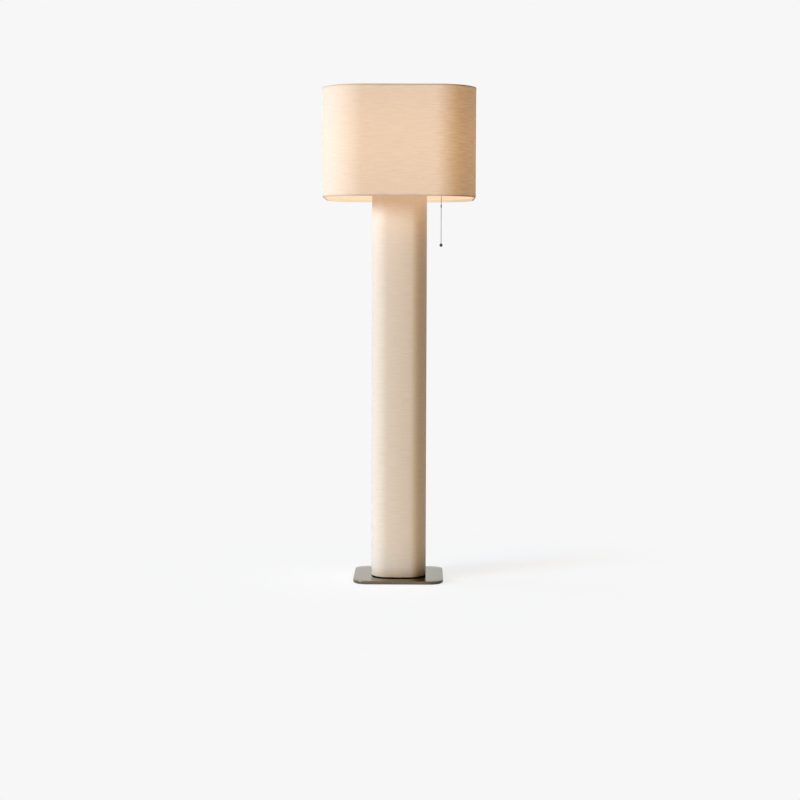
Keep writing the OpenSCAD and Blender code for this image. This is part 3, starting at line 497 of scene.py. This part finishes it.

# %% [markdown]
# ## Metals
# A metal's look lies in how it mirrors its surroundings. The plate is polished bronze, smooth with faint
# cloudy marks. Its colour is painted darker towards its right edge, a painted shade standing in for the
# darker reflection on that side. Spun and drawn parts carry fine lines from the tool, and plated screws and
# wire are a little uneven. One recipe makes them all from different numbers.

# %% Mix the metals
def metal(name, low, high, rough, lines=(1, 1, 1), scale=400, mark=0.01, edge=(1, 1, 1), patina=None):
    """Metal whose colour and roughness run between two values by a noise that lines draws out. edge tints
    what it mirrors at a flat angle. The last argument, if given, multiplies its colour by its last two
    numbers between its first two places along X: a painted shade, darker on one side."""
    finish, tree, shader = new_finish(name, Metallic=1.0, Specular_Tint=(*edge, 1))
    place = object_place(tree)
    grain = noise(tree, stretched(tree, place, lines), scale, 3, 0.6)
    cloud = noise(tree, place, 22, 3)
    colour = between(tree, cloud, low, high)
    # Painted shade: the colour is darkened along X, standing in for a darker reflection on that side.
    if patina:
        colour = multiplied(tree, colour, spread(tree, coordinate(tree, 0), *patina))
    tree.links.new(colour, shader.inputs["Base Color"])
    smear = work_out(tree, "MULTIPLY_ADD", cloud, 0.6, work_out(tree, "MULTIPLY", grain, 0.4))
    tree.links.new(spread(tree, smear, 0.3, 0.7, rough[0], rough[1]), shader.inputs["Roughness"])
    raised(tree, shader, grain, mark * MM, 0.5)
    return finish


METALS = {
    # The bronze plate's last four numbers paint a shade on its right edge.
    "bronze_plate": dict(low=(0.15, 0.118, 0.076), high=(0.18, 0.142, 0.096), rough=(0.08, 0.14),
                         lines=(1, 6, 1), scale=260, mark=0.003, edge=(1.0, 1.0, 0.95),
                         patina=(0.07, 0.13, 1.0, 0.45)),
    "brass": dict(low=(0.66, 0.48, 0.22), high=(0.74, 0.56, 0.28), rough=(0.2, 0.34),
                  lines=(1, 1, 8), scale=300),
    "zinc_steel": dict(low=(0.50, 0.51, 0.52), high=(0.62, 0.62, 0.61), rough=(0.28, 0.45),
                       lines=(1, 1, 4), scale=500, mark=0.02),
    "bulb_cap": dict(low=(0.70, 0.70, 0.69), high=(0.80, 0.79, 0.77), rough=(0.22, 0.36),
                     lines=(1, 1, 6), scale=500),
    "bead_chain": dict(low=(0.05, 0.048, 0.045), high=(0.08, 0.077, 0.072), rough=(0.25, 0.4),
                       scale=900, edge=(0.3, 0.3, 0.3)),
}
for name, numbers in METALS.items():
    finishes[name] = metal(name, **numbers)
print("metals:", ", ".join(METALS))

# %% [markdown]
# ## Paints and plastics
# These are not metals, so they have a colour of their own and a thin clear shine. Paint shows a
# slight orange peel, moulded plastic a fine grain, glazed ceramic pools of gloss. All of that is
# noise of another size and depth, so one recipe serves for them all.

# %% Mix the coatings
def coated(name, low, high, rough, scale, peel, coat=0.0, gloss=0.5):
    """Paint, plastic or glaze: a colour and roughness that drift, and a fine uneven surface that
    peel millimetres deep. coat is a clear layer on top, gloss how much the surface itself mirrors."""
    finish, tree, shader = new_finish(name, Coat_Weight=coat, Coat_Roughness=0.06,
                                      Specular_IOR_Level=gloss)
    place = object_place(tree)
    drift = noise(tree, place, 30, 3)
    fine = noise(tree, place, scale, 2)
    tree.links.new(between(tree, drift, low, high), shader.inputs["Base Color"])
    tree.links.new(spread(tree, drift, 0.3, 0.7, rough[0], rough[1]), shader.inputs["Roughness"])
    raised(tree, shader, fine, peel * MM, 0.5)
    return finish


COATINGS = {
    "black_metal": ((0.012, 0.012, 0.012), (0.022, 0.021, 0.02), (0.35, 0.5), 900, 0.02),
    "black_ball": ((0.016, 0.016, 0.016), (0.028, 0.027, 0.026), (0.22, 0.36), 1200, 0.01, 0.4),
    "black_plastic": ((0.018, 0.018, 0.018), (0.03, 0.03, 0.03), (0.4, 0.55), 2500, 0.015),
    "white_plastic": ((0.72, 0.71, 0.67), (0.80, 0.79, 0.75), (0.35, 0.5), 2500, 0.01),
    "white_wire": ((0.76, 0.75, 0.72), (0.84, 0.83, 0.80), (0.3, 0.45), 900, 0.02),
    "white_ceramic": ((0.80, 0.79, 0.75), (0.86, 0.85, 0.82), (0.12, 0.22), 350, 0.02, 0.5),
    "lead_sheath": ((0.02, 0.02, 0.02), (0.035, 0.034, 0.033), (0.5, 0.65), 1500, 0.02),
    "black_board": ((0.022, 0.011, 0.005), (0.045, 0.024, 0.012), (0.75, 0.9), 700, 0.06, 0.0, 0.08),
}
for name, numbers in COATINGS.items():
    finishes[name] = coated(name, *numbers)
print("coatings:", ", ".join(COATINGS))

# %% [markdown]
# ## Wood, felt and glass
# Plywood shows its layers and its figure, felt its fibres, and the frosted glass of a bulb hides
# what glows in it. Each needs a recipe of its own. They are worked out from the place on the object,
# so the layers run through a board as they do through the real one.

# %% Mix the plywood
def plywood():
    """Layers 1.5 mm thick of turned direction, light and dark by height, over a drawn-out figure."""
    finish, tree, shader = new_finish("plywood", Roughness=0.7)
    place = object_place(tree)
    figure = noise(tree, stretched(tree, place, (14, 220, 14)), 1, 5, 0.65)
    layer = work_out(tree, "SINE", work_out(tree, "MULTIPLY", coordinate(tree, 2), math.pi / (1.5 * MM)))
    tone = work_out(tree, "MULTIPLY_ADD", layer, 0.16, figure, clamp=True)
    tree.links.new(between(tree, tone, (0.38, 0.235, 0.12), (0.70, 0.50, 0.29)), shader.inputs["Base Color"])
    raised(tree, shader, figure, 0.15 * MM, 0.5)
    return finish


finishes["plywood"] = plywood()

# %% Mix the felt
def felt():
    """Short fibres in all directions: fine noise drawn out two ways, over a soft unevenness."""
    finish, tree, shader = new_finish("felt", Roughness=0.97, Sheen_Weight=0.35, Sheen_Roughness=0.4)
    place = object_place(tree)
    one = noise(tree, stretched(tree, place, (300, 1900, 900)), 1, 4, 0.7)
    other = noise(tree, stretched(tree, place, (1900, 300, 900)), 1, 4, 0.7)
    fibres = work_out(tree, "MAXIMUM", one, other)
    colour = between(tree, spread(tree, fibres, 0.4, 0.75, 0.0, 1.0), (0.012, 0.011, 0.01),
                     (0.06, 0.055, 0.05))
    tree.links.new(colour, shader.inputs["Base Color"])
    raised(tree, shader, fibres, 0.3 * MM, 0.8)
    return finish


finishes["felt"] = felt()

# %% Mix the bulbs' glass
def bulb_glass():
    """Frosted glass, lit: a warm glow, weaker near the neck where the frosting thickens."""
    finish, tree, shader = new_finish("bulb_glass", Roughness=0.35, Coat_Weight=0.3, Coat_Roughness=0.1,
                                      Emission_Color=(1.0, 0.80, 0.55, 1))
    frost = noise(tree, object_place(tree), 900, 2)
    white = between(tree, frost, (0.84, 0.80, 0.72), (0.90, 0.86, 0.78))
    tree.links.new(white, shader.inputs["Base Color"])
    strength = spread(tree, coordinate(tree, 2), 1.295, 1.34, 0.45, 0.95)
    tree.links.new(strength, shader.inputs["Emission Strength"])
    raised(tree, shader, frost, 0.02 * MM, 0.4)
    return finish


finishes["bulb_glass"] = bulb_glass()
print("finishes:", ", ".join(sorted(finishes)))

# %% [markdown]
# ## A finish for every solid
# Every solid of the frame names the material that it is made of. It gets the finish of that name,
# hidden parts too, because some of them are seen through the open top of the shade. The new pieces
# below take theirs from the same list.

# %% Give every solid its finish
slot_of = {name: node.data.materials[0].name.split(".")[0] for name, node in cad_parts.items()}
for name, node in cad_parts.items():
    node.data.materials[0] = finishes[slot_of[name]]
print("solids with a finish:", len(slot_of))


def dress(piece, slot, body, *nodes):
    """Gives a new piece its finish, the body that it rides on and the solids that it stands for."""
    piece.data.materials.append(finishes[slot])
    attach(piece, body)
    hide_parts(*nodes)
    print(piece.name, "rides on", body + ",", len(piece.data.polygons), "faces")

# %% [markdown]
# ## The linen on the column
# On the real lamp one length of linen is glued round the plywood column, lapped at the middle of
# the back, and turned in under both ends. A thin wadding under it lets the flat sides bow out by a
# millimetre or two, so light fades across them, and the hem sags as much below the wood. It could be
# a box with bevelled edges, but the bow, the turned ends and the lap would be missing. Here the wall
# of the cloth is a profile: up the outside, round the top edge, in over the end and back inside, one
# cloth thickness deeper.

# %% Choose the cover's sizes
cover_low, cover_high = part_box("column_cover")
COLUMN_HALF = cover_high.x
COLUMN_CORNER = 53 * MM
COVER_WALL = 1.2 * MM
COVER_EDGE = 1.5 * MM
COVER_TURN_IN = 9.6 * MM
COVER_BOW = 1.4 * MM
COVER_BOW_ANGLE = 6
HEM_SAG = 1.5 * MM
LAP_WIDTH = 12 * MM
LAP_PROUD = 0.5 * MM
print("column cover: half width", round(COLUMN_HALF, 4), "corner", COLUMN_CORNER)

# %% Draw the lap and the turned ends
def lap(way, height_mask):
    """How far the seam stands proud: a sharp step of the lap's edge, level across the lap, and a
    soft fall on the side where the cloth under it starts."""
    rise = np.clip(way / (0.4 * MM), 0, 1) * np.clip((LAP_WIDTH - way) / (3 * MM), 0, 1)
    return LAP_PROUD * rise[None, :] * height_mask[:, None]


def turned_wall(low, high, wall, edge, turn_in, rows):
    """Profile of a wall with rounded, turned-in ends: the outside and then the inside of the same
    line, one wall thickness apart. Returns the number of points on the outside too."""
    up = np.stack([np.zeros(rows), np.linspace(low + edge, high - edge, rows)], -1)
    outside, inside = [
        np.vstack([[[-turn_in, low + inset]], arc_points((-edge, low + edge), edge - inset, -90, 0, 7)[:-1],
                   up + [-inset, 0], arc_points((-edge, high - edge), edge - inset, 0, 90, 7)[1:],
                   [[-turn_in, high - inset]]]) for inset in (0.0, wall)]
    return np.vstack([outside, inside[::-1]]), len(outside)

# %% Cover the column
seam_steps = np.array([0.2, 0.4, 4.5, 9.0, 10.5, 12.0]) * MM
hem_z = cover_low.z - HEM_SAG
profile, outer_count = turned_wall(hem_z, cover_high.z, COVER_WALL, COVER_EDGE, COVER_TURN_IN, 60)
reach = COLUMN_HALF - COLUMN_CORNER * (1 - math.sqrt(0.5))
plan = bowed_plan(COLUMN_HALF + COVER_BOW, reach, math.radians(COVER_BOW_ANGLE), 24, 12, seam_steps)
outside_rows = (np.arange(len(profile)) < outer_count) & (profile[:, 0] > -0.1 * MM)
column_cloth = carried("column_cloth", profile, plan, lap(plan[2], outside_rows.astype(float)))
dress(column_cloth, "column_linen", "stand", "column_cover")

# %% [markdown]
# ## The shade's linen
# The shade is a hoop of plastic film with linen laminated on its outside, glued round two wire
# rings. The linen could be a solidified strip. A closed profile carried round the plan gives the
# same wall and lets the lap at the back be part of it.

# %% Cover the shade
linen_low, linen_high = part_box("shade_linen")
LINEN_HALF = linen_high.x
LINEN_WALL = 1.0 * MM
SHADE_CORNER = 122 * MM
trim_low, trim_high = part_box("shade_trims")
TRIM_HALF = trim_high.x
LINEN_DEPTH = TRIM_HALF - LINEN_HALF


def plain_wall(low, high, outside, inside, rows):
    """Profile of a flat wall between two distances: up the outside and down the inside."""
    z = np.linspace(low, high, rows)
    out, back = np.full(rows, outside), np.full(rows, inside)
    return np.vstack([np.stack([out, z], -1), np.stack([back, z[::-1]], -1)])


SHADE_ROWS = 40
plan = round_plan(LINEN_HALF, SHADE_CORNER - LINEN_DEPTH, 30, 12, seam_steps)
profile = plain_wall(linen_low.z, linen_high.z, 0, -LINEN_WALL, SHADE_ROWS)
outside_rows = (np.arange(len(profile)) < SHADE_ROWS).astype(float)
shade_cloth = carried("shade_cloth", profile, plan, lap(plan[2], outside_rows))
dress(shade_cloth, "shade_linen", "shade", "shade_linen")

# %% [markdown]
# ## The shade's film
# The film makes the shade stiff: a plain wall just inside the linen. Its own joint would lie behind
# the linen's lap and is left out.

# %% Line the shade
liner_low, liner_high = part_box("shade_liner")
LINER_WALL = 0.6 * MM
liner_corner = SHADE_CORNER - (TRIM_HALF - liner_high.x)
liner = carried("liner_film", plain_wall(liner_low.z, liner_high.z, 0, -LINER_WALL, 12),
                round_plan(liner_high.x, liner_corner, 30, 12))
dress(liner, "shade_liner", "shade", "shade_liner")

# %% [markdown]
# ## The tape round the rims
# The shade's raw edges are bound by a linen tape that is folded over the rings, which gives the thin darker
# lines along the top and the bottom. No light comes through four layers and a wire, and the tape's colour
# there is painted darker as painted shade. A bevel on the wall would miss the fold, so the tape is a piece
# of its own, half round the wire.

# %% Bind the edges
TRIM_WALL = 0.6 * MM
TRIM_LEG = 8 * MM
TRIM_ROLL = 3.5 * MM


def folded_tape(edge, up):
    """Profile of a tape folded over an edge: a leg outside, a half round under the edge, a leg
    inside, and back along the same line one thickness further in. up is 1 at the bottom edge and -1
    at the top one."""
    turn = np.radians(np.linspace(0, 180, 13))
    outer, inner = [
        np.vstack([[[-inset, TRIM_LEG]],
                   np.stack([-TRIM_ROLL + (TRIM_ROLL - inset) * np.cos(turn),
                             TRIM_ROLL - (TRIM_ROLL - inset) * np.sin(turn)], -1),
                   [[-2 * TRIM_ROLL + inset, TRIM_LEG]]]) for inset in (0.0, TRIM_WALL)]
    line = np.vstack([outer, inner[::-1]])
    return np.stack([line[:, 0], edge + up * line[:, 1]], -1)


plan = round_plan(TRIM_HALF, SHADE_CORNER, 30, 12)
bottom_tape = carried("bottom_tape", folded_tape(trim_low.z, 1), plan, sharp=60)
top_tape = carried("top_tape", folded_tape(trim_high.z, -1), plan, sharp=60)
for binding, ring in ((bottom_tape, "shade_bottom_ring"), (top_tape, "shade_top_ring")):
    dress(binding, "linen_tape", "shade", "shade_trims")

# %% [markdown]
# ## The plate and its felt
# The plate is 8 mm thick, with all its edges eased by about a millimetre. That small bevel is what
# draws the light line along the front. A flat top needs only a few points, so the profile runs from
# the middle of the top, over the edge and back to the middle of the underside.

# %% Make the plate
plate_low, plate_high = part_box("base_plate")
PLATE_HALF = plate_high.x
PLATE_CORNER = 42 * MM
PLATE_EASE = 0.9 * MM


def flat_slab(name, low, high, ease, half, corner, per_arc, per_straight, rings=6):
    """A slab with the plan of a rounded square: its eased edge is a profile carried round the plan,
    and its faces run in rings that shrink from the edge to a point in the middle."""
    points, normals, way, length = round_plan(half, corner, per_arc, per_straight)
    edge = np.vstack([arc_points((-ease, high - ease), ease, 90, 0, 6),
                      arc_points((-ease, low + ease), ease, 0, -90, 6)])
    rim = points[None] + edge[:, 0][:, None, None] * normals[None]
    shrink = np.linspace(0, 1, rings + 1)[:-1]
    top = rim[0][None] * shrink[:, None, None]
    bottom = rim[-1][None] * shrink[::-1, None, None]
    plan = np.concatenate([top, rim, bottom])
    heights = np.concatenate([np.full(rings, high), edge[:, 1], np.full(rings, low)])
    grid = np.concatenate([plan, np.broadcast_to(heights[:, None, None], plan.shape[:2] + (1,))], -1)
    return surface(name, grid, False, True)


plate = flat_slab("bronze_slab", plate_low.z, plate_high.z, PLATE_EASE, PLATE_HALF, PLATE_CORNER, 24, 8)
dress(plate, "bronze_plate", "stand", "base_plate")

# %% Cut the felt
felt_low, felt_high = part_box("base_felt")
felt_corner = PLATE_CORNER - (PLATE_HALF - felt_high.x)
felt_pad = flat_slab("felt_pad", felt_low.z, felt_high.z, 0.5 * MM, felt_high.x, felt_corner, 16, 6)
dress(felt_pad, "felt", "stand", "base_felt")

# %% [markdown]
# ## Bulbs
# Each bulb has a frosted pear and a screw cap. The thread of the cap is one formula: the radius
# rises and falls with the height, and the wave climbs by one pitch in each turn. Towards both ends
# it fades out, as a rolled thread does.

# %% Measure the bulbs
glass_low, glass_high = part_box("front_bulb_glass")
cap_low, cap_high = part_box("front_bulb_cap")
GLOBE_R = glass_high.x
GLASS_H = glass_high.z - glass_low.z
NECK_R = 12.4 * MM
CAP_R = cap_high.x
CAP_H = cap_high.z - cap_low.z
THREAD_PITCH = 3.6 * MM
THREAD_DEPTH = 0.55 * MM
print("bulb: glass", round(GLASS_H, 4), "m high, cap", round(CAP_H, 4))

# %% Draw pear, cap and thread
def pear():
    """Half outline: a neck that swells on a smooth curve and runs into the globe."""
    centre = GLASS_H - GLOBE_R
    join = arc_points((0, centre), GLOBE_R, -18, -18, 1)[0]
    neck = smooth_line([[NECK_R, 0], [NECK_R * 1.06, 0.12 * GLASS_H], [NECK_R * 1.5, 0.25 * GLASS_H],
                        [GLOBE_R * 0.83, 0.39 * GLASS_H], join], 6)
    globe = arc_points((0, centre), GLOBE_R, -18, 90, 26)
    return np.vstack([[[0, 0]], neck[:-1], globe[:-1], [[0, GLASS_H]]])


def screw_cap():
    """Half outline: a solder tip, an insulating cone and the threaded barrel with a crimped top."""
    barrel = np.linspace(0.30 * CAP_H, 0.90 * CAP_H, 44)
    middle = np.stack([np.full(len(barrel), CAP_R - THREAD_DEPTH), barrel], -1)
    return np.vstack([[[0, 0], [3.6 * MM, 0.1 * MM], [4.4 * MM, 0.8 * MM], [4.6 * MM, 1.6 * MM],
                       [CAP_R * 0.86, 0.21 * CAP_H], [CAP_R * 0.93, 0.25 * CAP_H]], middle,
                      [[CAP_R - 0.2 * MM, 0.93 * CAP_H], [CAP_R - 0.1 * MM, 0.98 * CAP_H], [0, CAP_H]]])


def thread(height, angle):
    """Wave of the thread: depth * sin(2 pi height / pitch - angle), faded in and out."""
    fade = np.clip((height / CAP_H - 0.28) / 0.08, 0, 1) * np.clip((0.92 - height / CAP_H) / 0.08, 0, 1)
    return THREAD_DEPTH * fade * np.sin(2 * math.pi * height / THREAD_PITCH - angle)

# %% Blow the bulbs
for side in ("front", "rear"):
    low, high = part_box(side + "_bulb_glass")
    centre = ((low.x + high.x) / 2, (low.y + high.y) / 2, low.z)
    glass = turned(side + "_bulb_pear", pear(), centre)
    dress(glass, "bulb_glass", side + "_bulb", side + "_bulb_glass")
    low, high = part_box(side + "_bulb_cap")
    cap = turned(side + "_screw_cap", screw_cap(), (centre[0], centre[1], low.z), 40, thread)
    dress(cap, "bulb_cap", side + "_bulb", side + "_bulb_cap")

# %% [markdown]
# ## The finial
# A small turned brass knob screws down on the hub of the shade's wire spider. Its outline is a foot,
# a waist and a ball, drawn as one smooth line as a turner would cut it.

# %% Turn the finial
finial_low, finial_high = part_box("finial")
FINIAL_H = finial_high.z - finial_low.z
FINIAL_R = finial_high.x


def knob():
    """Half outline: a flat foot with a bead, a waist, and a ball whose top meets the axis."""
    ball = arc_points((0, FINIAL_H - FINIAL_R), FINIAL_R, -52, 90, 22)
    waist = smooth_line([[6.0 * MM, 2.6 * MM], [4.2 * MM, 3.6 * MM], [3.7 * MM, 5.4 * MM],
                         [4.0 * MM, 7.2 * MM], ball[0]], 6)
    foot = [[0, 0], [6.2 * MM, 0], [6.7 * MM, 0.5 * MM], [6.8 * MM, 1.3 * MM], [6.6 * MM, 2.1 * MM]]
    return np.vstack([foot, waist[:-1], ball[:-1], [[0, FINIAL_H]]])


finial = turned("finial_knob", knob(), (0, 0, finial_low.z), 48)
dress(finial, "brass", "finial", "finial")

# %% [markdown]
# ## The pull chain
# The chain is a row of hollow beads strung on short wires. One surface does it all: the radius at
# each height is that of the bead there, or of the wire where the bead is thinner than the wire.
# Where it swivels under the switch it is cut into separate pieces, because they move apart.

# %% Draw a row of beads
BEAD_R = 1.2 * MM
LINK_R = 0.4 * MM
BEAD_PITCH = 3.3 * MM
swivel_low, swivel_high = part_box("chain_swivel_bead")
SWING_Z = (swivel_low.z + swivel_high.z) / 2
CHAIN_X = (swivel_low.x + swivel_high.x) / 2


def beads(name, first, last, top, bottom, around=12, per_bead=11):
    """Beads number first to last below the swivel. Radius at height z: the greater of the wire's
    radius and sqrt(bead radius^2 - (z - bead centre)^2)."""
    angle = np.linspace(0, math.pi, per_bead)
    number = np.arange(last, first - 1, -1)[:, None]
    z = SWING_Z - BEAD_PITCH * number - BEAD_R * np.cos(angle)[None]
    r = np.broadcast_to(np.maximum(BEAD_R * np.sin(angle), LINK_R), z.shape)
    outline = np.stack([r.ravel(), z.ravel()], -1)
    outline = np.vstack([[[0, bottom], [LINK_R, bottom]], outline, [[LINK_R, top], [0, top]]])
    return turned(name, outline, (CHAIN_X, 0, 0), around, sharp=80)

# %% String the beads
lower_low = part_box("chain_lower")[0]
upper_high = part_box("chain_upper")[1]
lower_count = int((SWING_Z - lower_low.z) / BEAD_PITCH)
upper_count = int(round((upper_high.z - BEAD_R - SWING_Z) / BEAD_PITCH))
lower_chain = beads("lower_beads", 1, lower_count, SWING_Z - BEAD_R - 0.3 * MM, lower_low.z)
upper_chain = beads("upper_beads", -upper_count, -1, upper_high.z - 0.1 * MM, SWING_Z + BEAD_R + 0.3 * MM)
swivel = turned("swivel_bead", arc_points((0, SWING_Z), BEAD_R, -90, 90, 15), (CHAIN_X, 0, 0), 20)
dress(lower_chain, "bead_chain", "chain", "chain_lower")
dress(upper_chain, "bead_chain", "pull", "chain_upper")
dress(swivel, "bead_chain", "swivel", "chain_swivel_bead")
print("beads:", lower_count, "below and", upper_count, "above the swivel")

# %% [markdown]
# ## The connector and the ball
# A small rolled sleeve joins the chain of the switch to that of the pull, and a black ball is the
# handle. Both are turned like the bulbs. The sleeve is hollow, so its outline is a closed line.

# %% Close the connector
clasp_low, clasp_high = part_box("chain_connector")
CLASP_R = (clasp_high.x - clasp_low.x) / 2
CLASP_WALL = 0.6 * MM


def clasp():
    """Profile of a sleeve with rolled-in ends: the outside bulges by a tenth, the inside is plain."""
    z = np.linspace(0, 1, 17)
    outside = np.stack([CLASP_R * (0.86 + 0.14 * np.sin(math.pi * z) ** 0.4),
                        clasp_low.z + z * (clasp_high.z - clasp_low.z)], -1)
    inside = np.stack([np.full(2, CLASP_R - CLASP_WALL), [clasp_high.z, clasp_low.z]], -1)
    return np.vstack([outside, inside])


connector = turned("connector_sleeve", clasp(), (CHAIN_X, 0, 0), 28, closed=True)
dress(connector, "bead_chain", "chain", "chain_connector")

# %% Turn the ball
ball_low, ball_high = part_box("pull_ball")
BALL_R = (ball_high.x - ball_low.x) / 2
BALL_NECK_R = 1.6 * MM
ball_z = ball_low.z + BALL_R
neck = smooth_line([arc_points((0, ball_z), BALL_R, 66, 66, 1)[0],
                    [BALL_NECK_R, ball_z + BALL_R + 0.3 * MM],
                    [BALL_NECK_R * 0.9, ball_high.z - 0.2 * MM]], 5)
outline = np.vstack([arc_points((0, ball_z), BALL_R, -90, 66, 26)[:-1], neck, [[0, ball_high.z]]])
ball = turned("pull_knob", outline, (CHAIN_X, 0, 0), 36)
dress(ball, "black_ball", "chain", "pull_ball")

# %% [markdown]
# ## Light
# The picture has one large soft lamp far to the left. Three wide suns side by side make that broad
# source and light every place alike, which a lamp close by would not: the nearer to the side, the
# cooler the light. All the rest comes up from the pale floor, a little warm, and the dark plate
# shades the foot of the column from it.

# %% Light the lamp
BACKGROUND = 0.93
KEYS = {45: (0.370, 0.220, 0.006), 60: (0.437, 0.725, 1.127), 110: (0.08, 0.13, 0.20)}
KEY_HEIGHT = 11
KEY_WIDTH = 20

for azimuth, colour in KEYS.items():
    sun = bpy.data.lights.new("key_%d" % azimuth, "SUN")
    sun.energy = math.pi * max(colour)
    sun.color = [c / max(colour) for c in colour]
    sun.angle = math.radians(KEY_WIDTH)
    lamp = bpy.data.objects.new(sun.name, sun)
    lamp.rotation_euler = np.radians((90 - KEY_HEIGHT, 0, -azimuth))
    bpy.context.scene.collection.objects.link(lamp)
print("keys:", KEYS)

# %% [markdown]
# ## Background
# The world lights the lamp with next to nothing. The camera sees a pale background instead, and so
# does a mirror that the camera looks into, but not the plate when it throws light on the cloth. A
# white wall would look the same and would light the lamp from all sides.

# %% Set the world
ROOM = (0.04, 0.035, 0.03)


def seen_only(tree):
    """1 for what the camera sees, straight or in a mirror or glass, 0 for light that falls on the
    lamp. A path that has met a dull surface has a diffuse depth of 1 or more."""
    path = put(tree, "ShaderNodeLightPath", {}).outputs
    direct = work_out(tree, "MAXIMUM", path["Is Camera Ray"], path["Is Glossy Ray"])
    direct = work_out(tree, "MAXIMUM", direct, path["Is Transmission Ray"])
    return work_out(tree, "MULTIPLY", direct, work_out(tree, "LESS_THAN", path["Diffuse Depth"], 0.5))


world = bpy.data.worlds.new("room")
bpy.context.scene.world = world
world.use_nodes = True
sky = world.node_tree
sky.nodes.clear()
room = put(sky, "ShaderNodeBackground", {"Color": between(sky, seen_only(sky), ROOM, (BACKGROUND,) * 3)})
put(sky, "ShaderNodeOutputWorld", {"Surface": room.outputs[0]})
print("background:", BACKGROUND, "seen,", ROOM, "as light")

# %% [markdown]
# ## Floor
# The floor takes a soft shadow near the lamp. What the camera sees of it is mostly a plain tone, and
# that part grows with the distance from the lamp until floor and background are the same. It lies a
# hair below the felt, so the two do not share one level.

# %% Choose the floor's tones
FLOOR_LIGHT = (0.789, 0.637, 0.492)
FLOOR_SHADE = 0.12
FADE = (0.30, 1.1)
LAMP_LIGHT = (0.05, 0.035, 0.02)
FLOOR_DROP = 0.3 * MM
down = math.sin(math.radians(KEY_HEIGHT))
floor_light = down * np.sum(list(KEYS.values()), axis=0) + ROOM + LAMP_LIGHT
floor_albedo = FLOOR_SHADE / floor_light
print("floor albedo", floor_albedo.round(3))

# %% Lay the floor
radii = np.array([0, 0.1, 0.2, 0.4, 0.8, 1.6, 3.2, 6.4, 12.8, 30.0])
floor = turned("floor", np.stack([radii, 0 * radii], -1), (0, 0, -FLOOR_DROP), 64)
finish, tree, shader = new_finish("floor", Roughness=1.0, Specular_IOR_Level=0.0, Emission_Strength=1)
place = object_place(tree)
squared = put(tree, "ShaderNodeVectorMath", {0: place, 1: place}, operation="DOT_PRODUCT")
plain = spread(tree, work_out(tree, "SQRT", squared.outputs["Value"]), *FADE, 0.0, 1.0)
grain = spread(tree, noise(tree, place, 900, 2), 0.3, 0.7, 0.0, 1.0)
tone = between(tree, grain, 0.99 * floor_albedo, 1.01 * floor_albedo)
tree.links.new(between(tree, plain, tone, (0, 0, 0)), shader.inputs["Base Color"])
look = spread(tree, plain, 0.0, 1.0, BACKGROUND - FLOOR_SHADE, BACKGROUND)
shown = put(tree, "ShaderNodeCombineXYZ", {0: look, 1: look, 2: look}).outputs[0]
tree.links.new(between(tree, seen_only(tree), FLOOR_LIGHT, shown), shader.inputs["Emission Color"])
floor.data.materials.append(finish)
bpy.context.scene.view_settings.view_transform = "Standard"
print("floor:", len(floor.data.polygons), "faces, out to", radii[-1], "m")
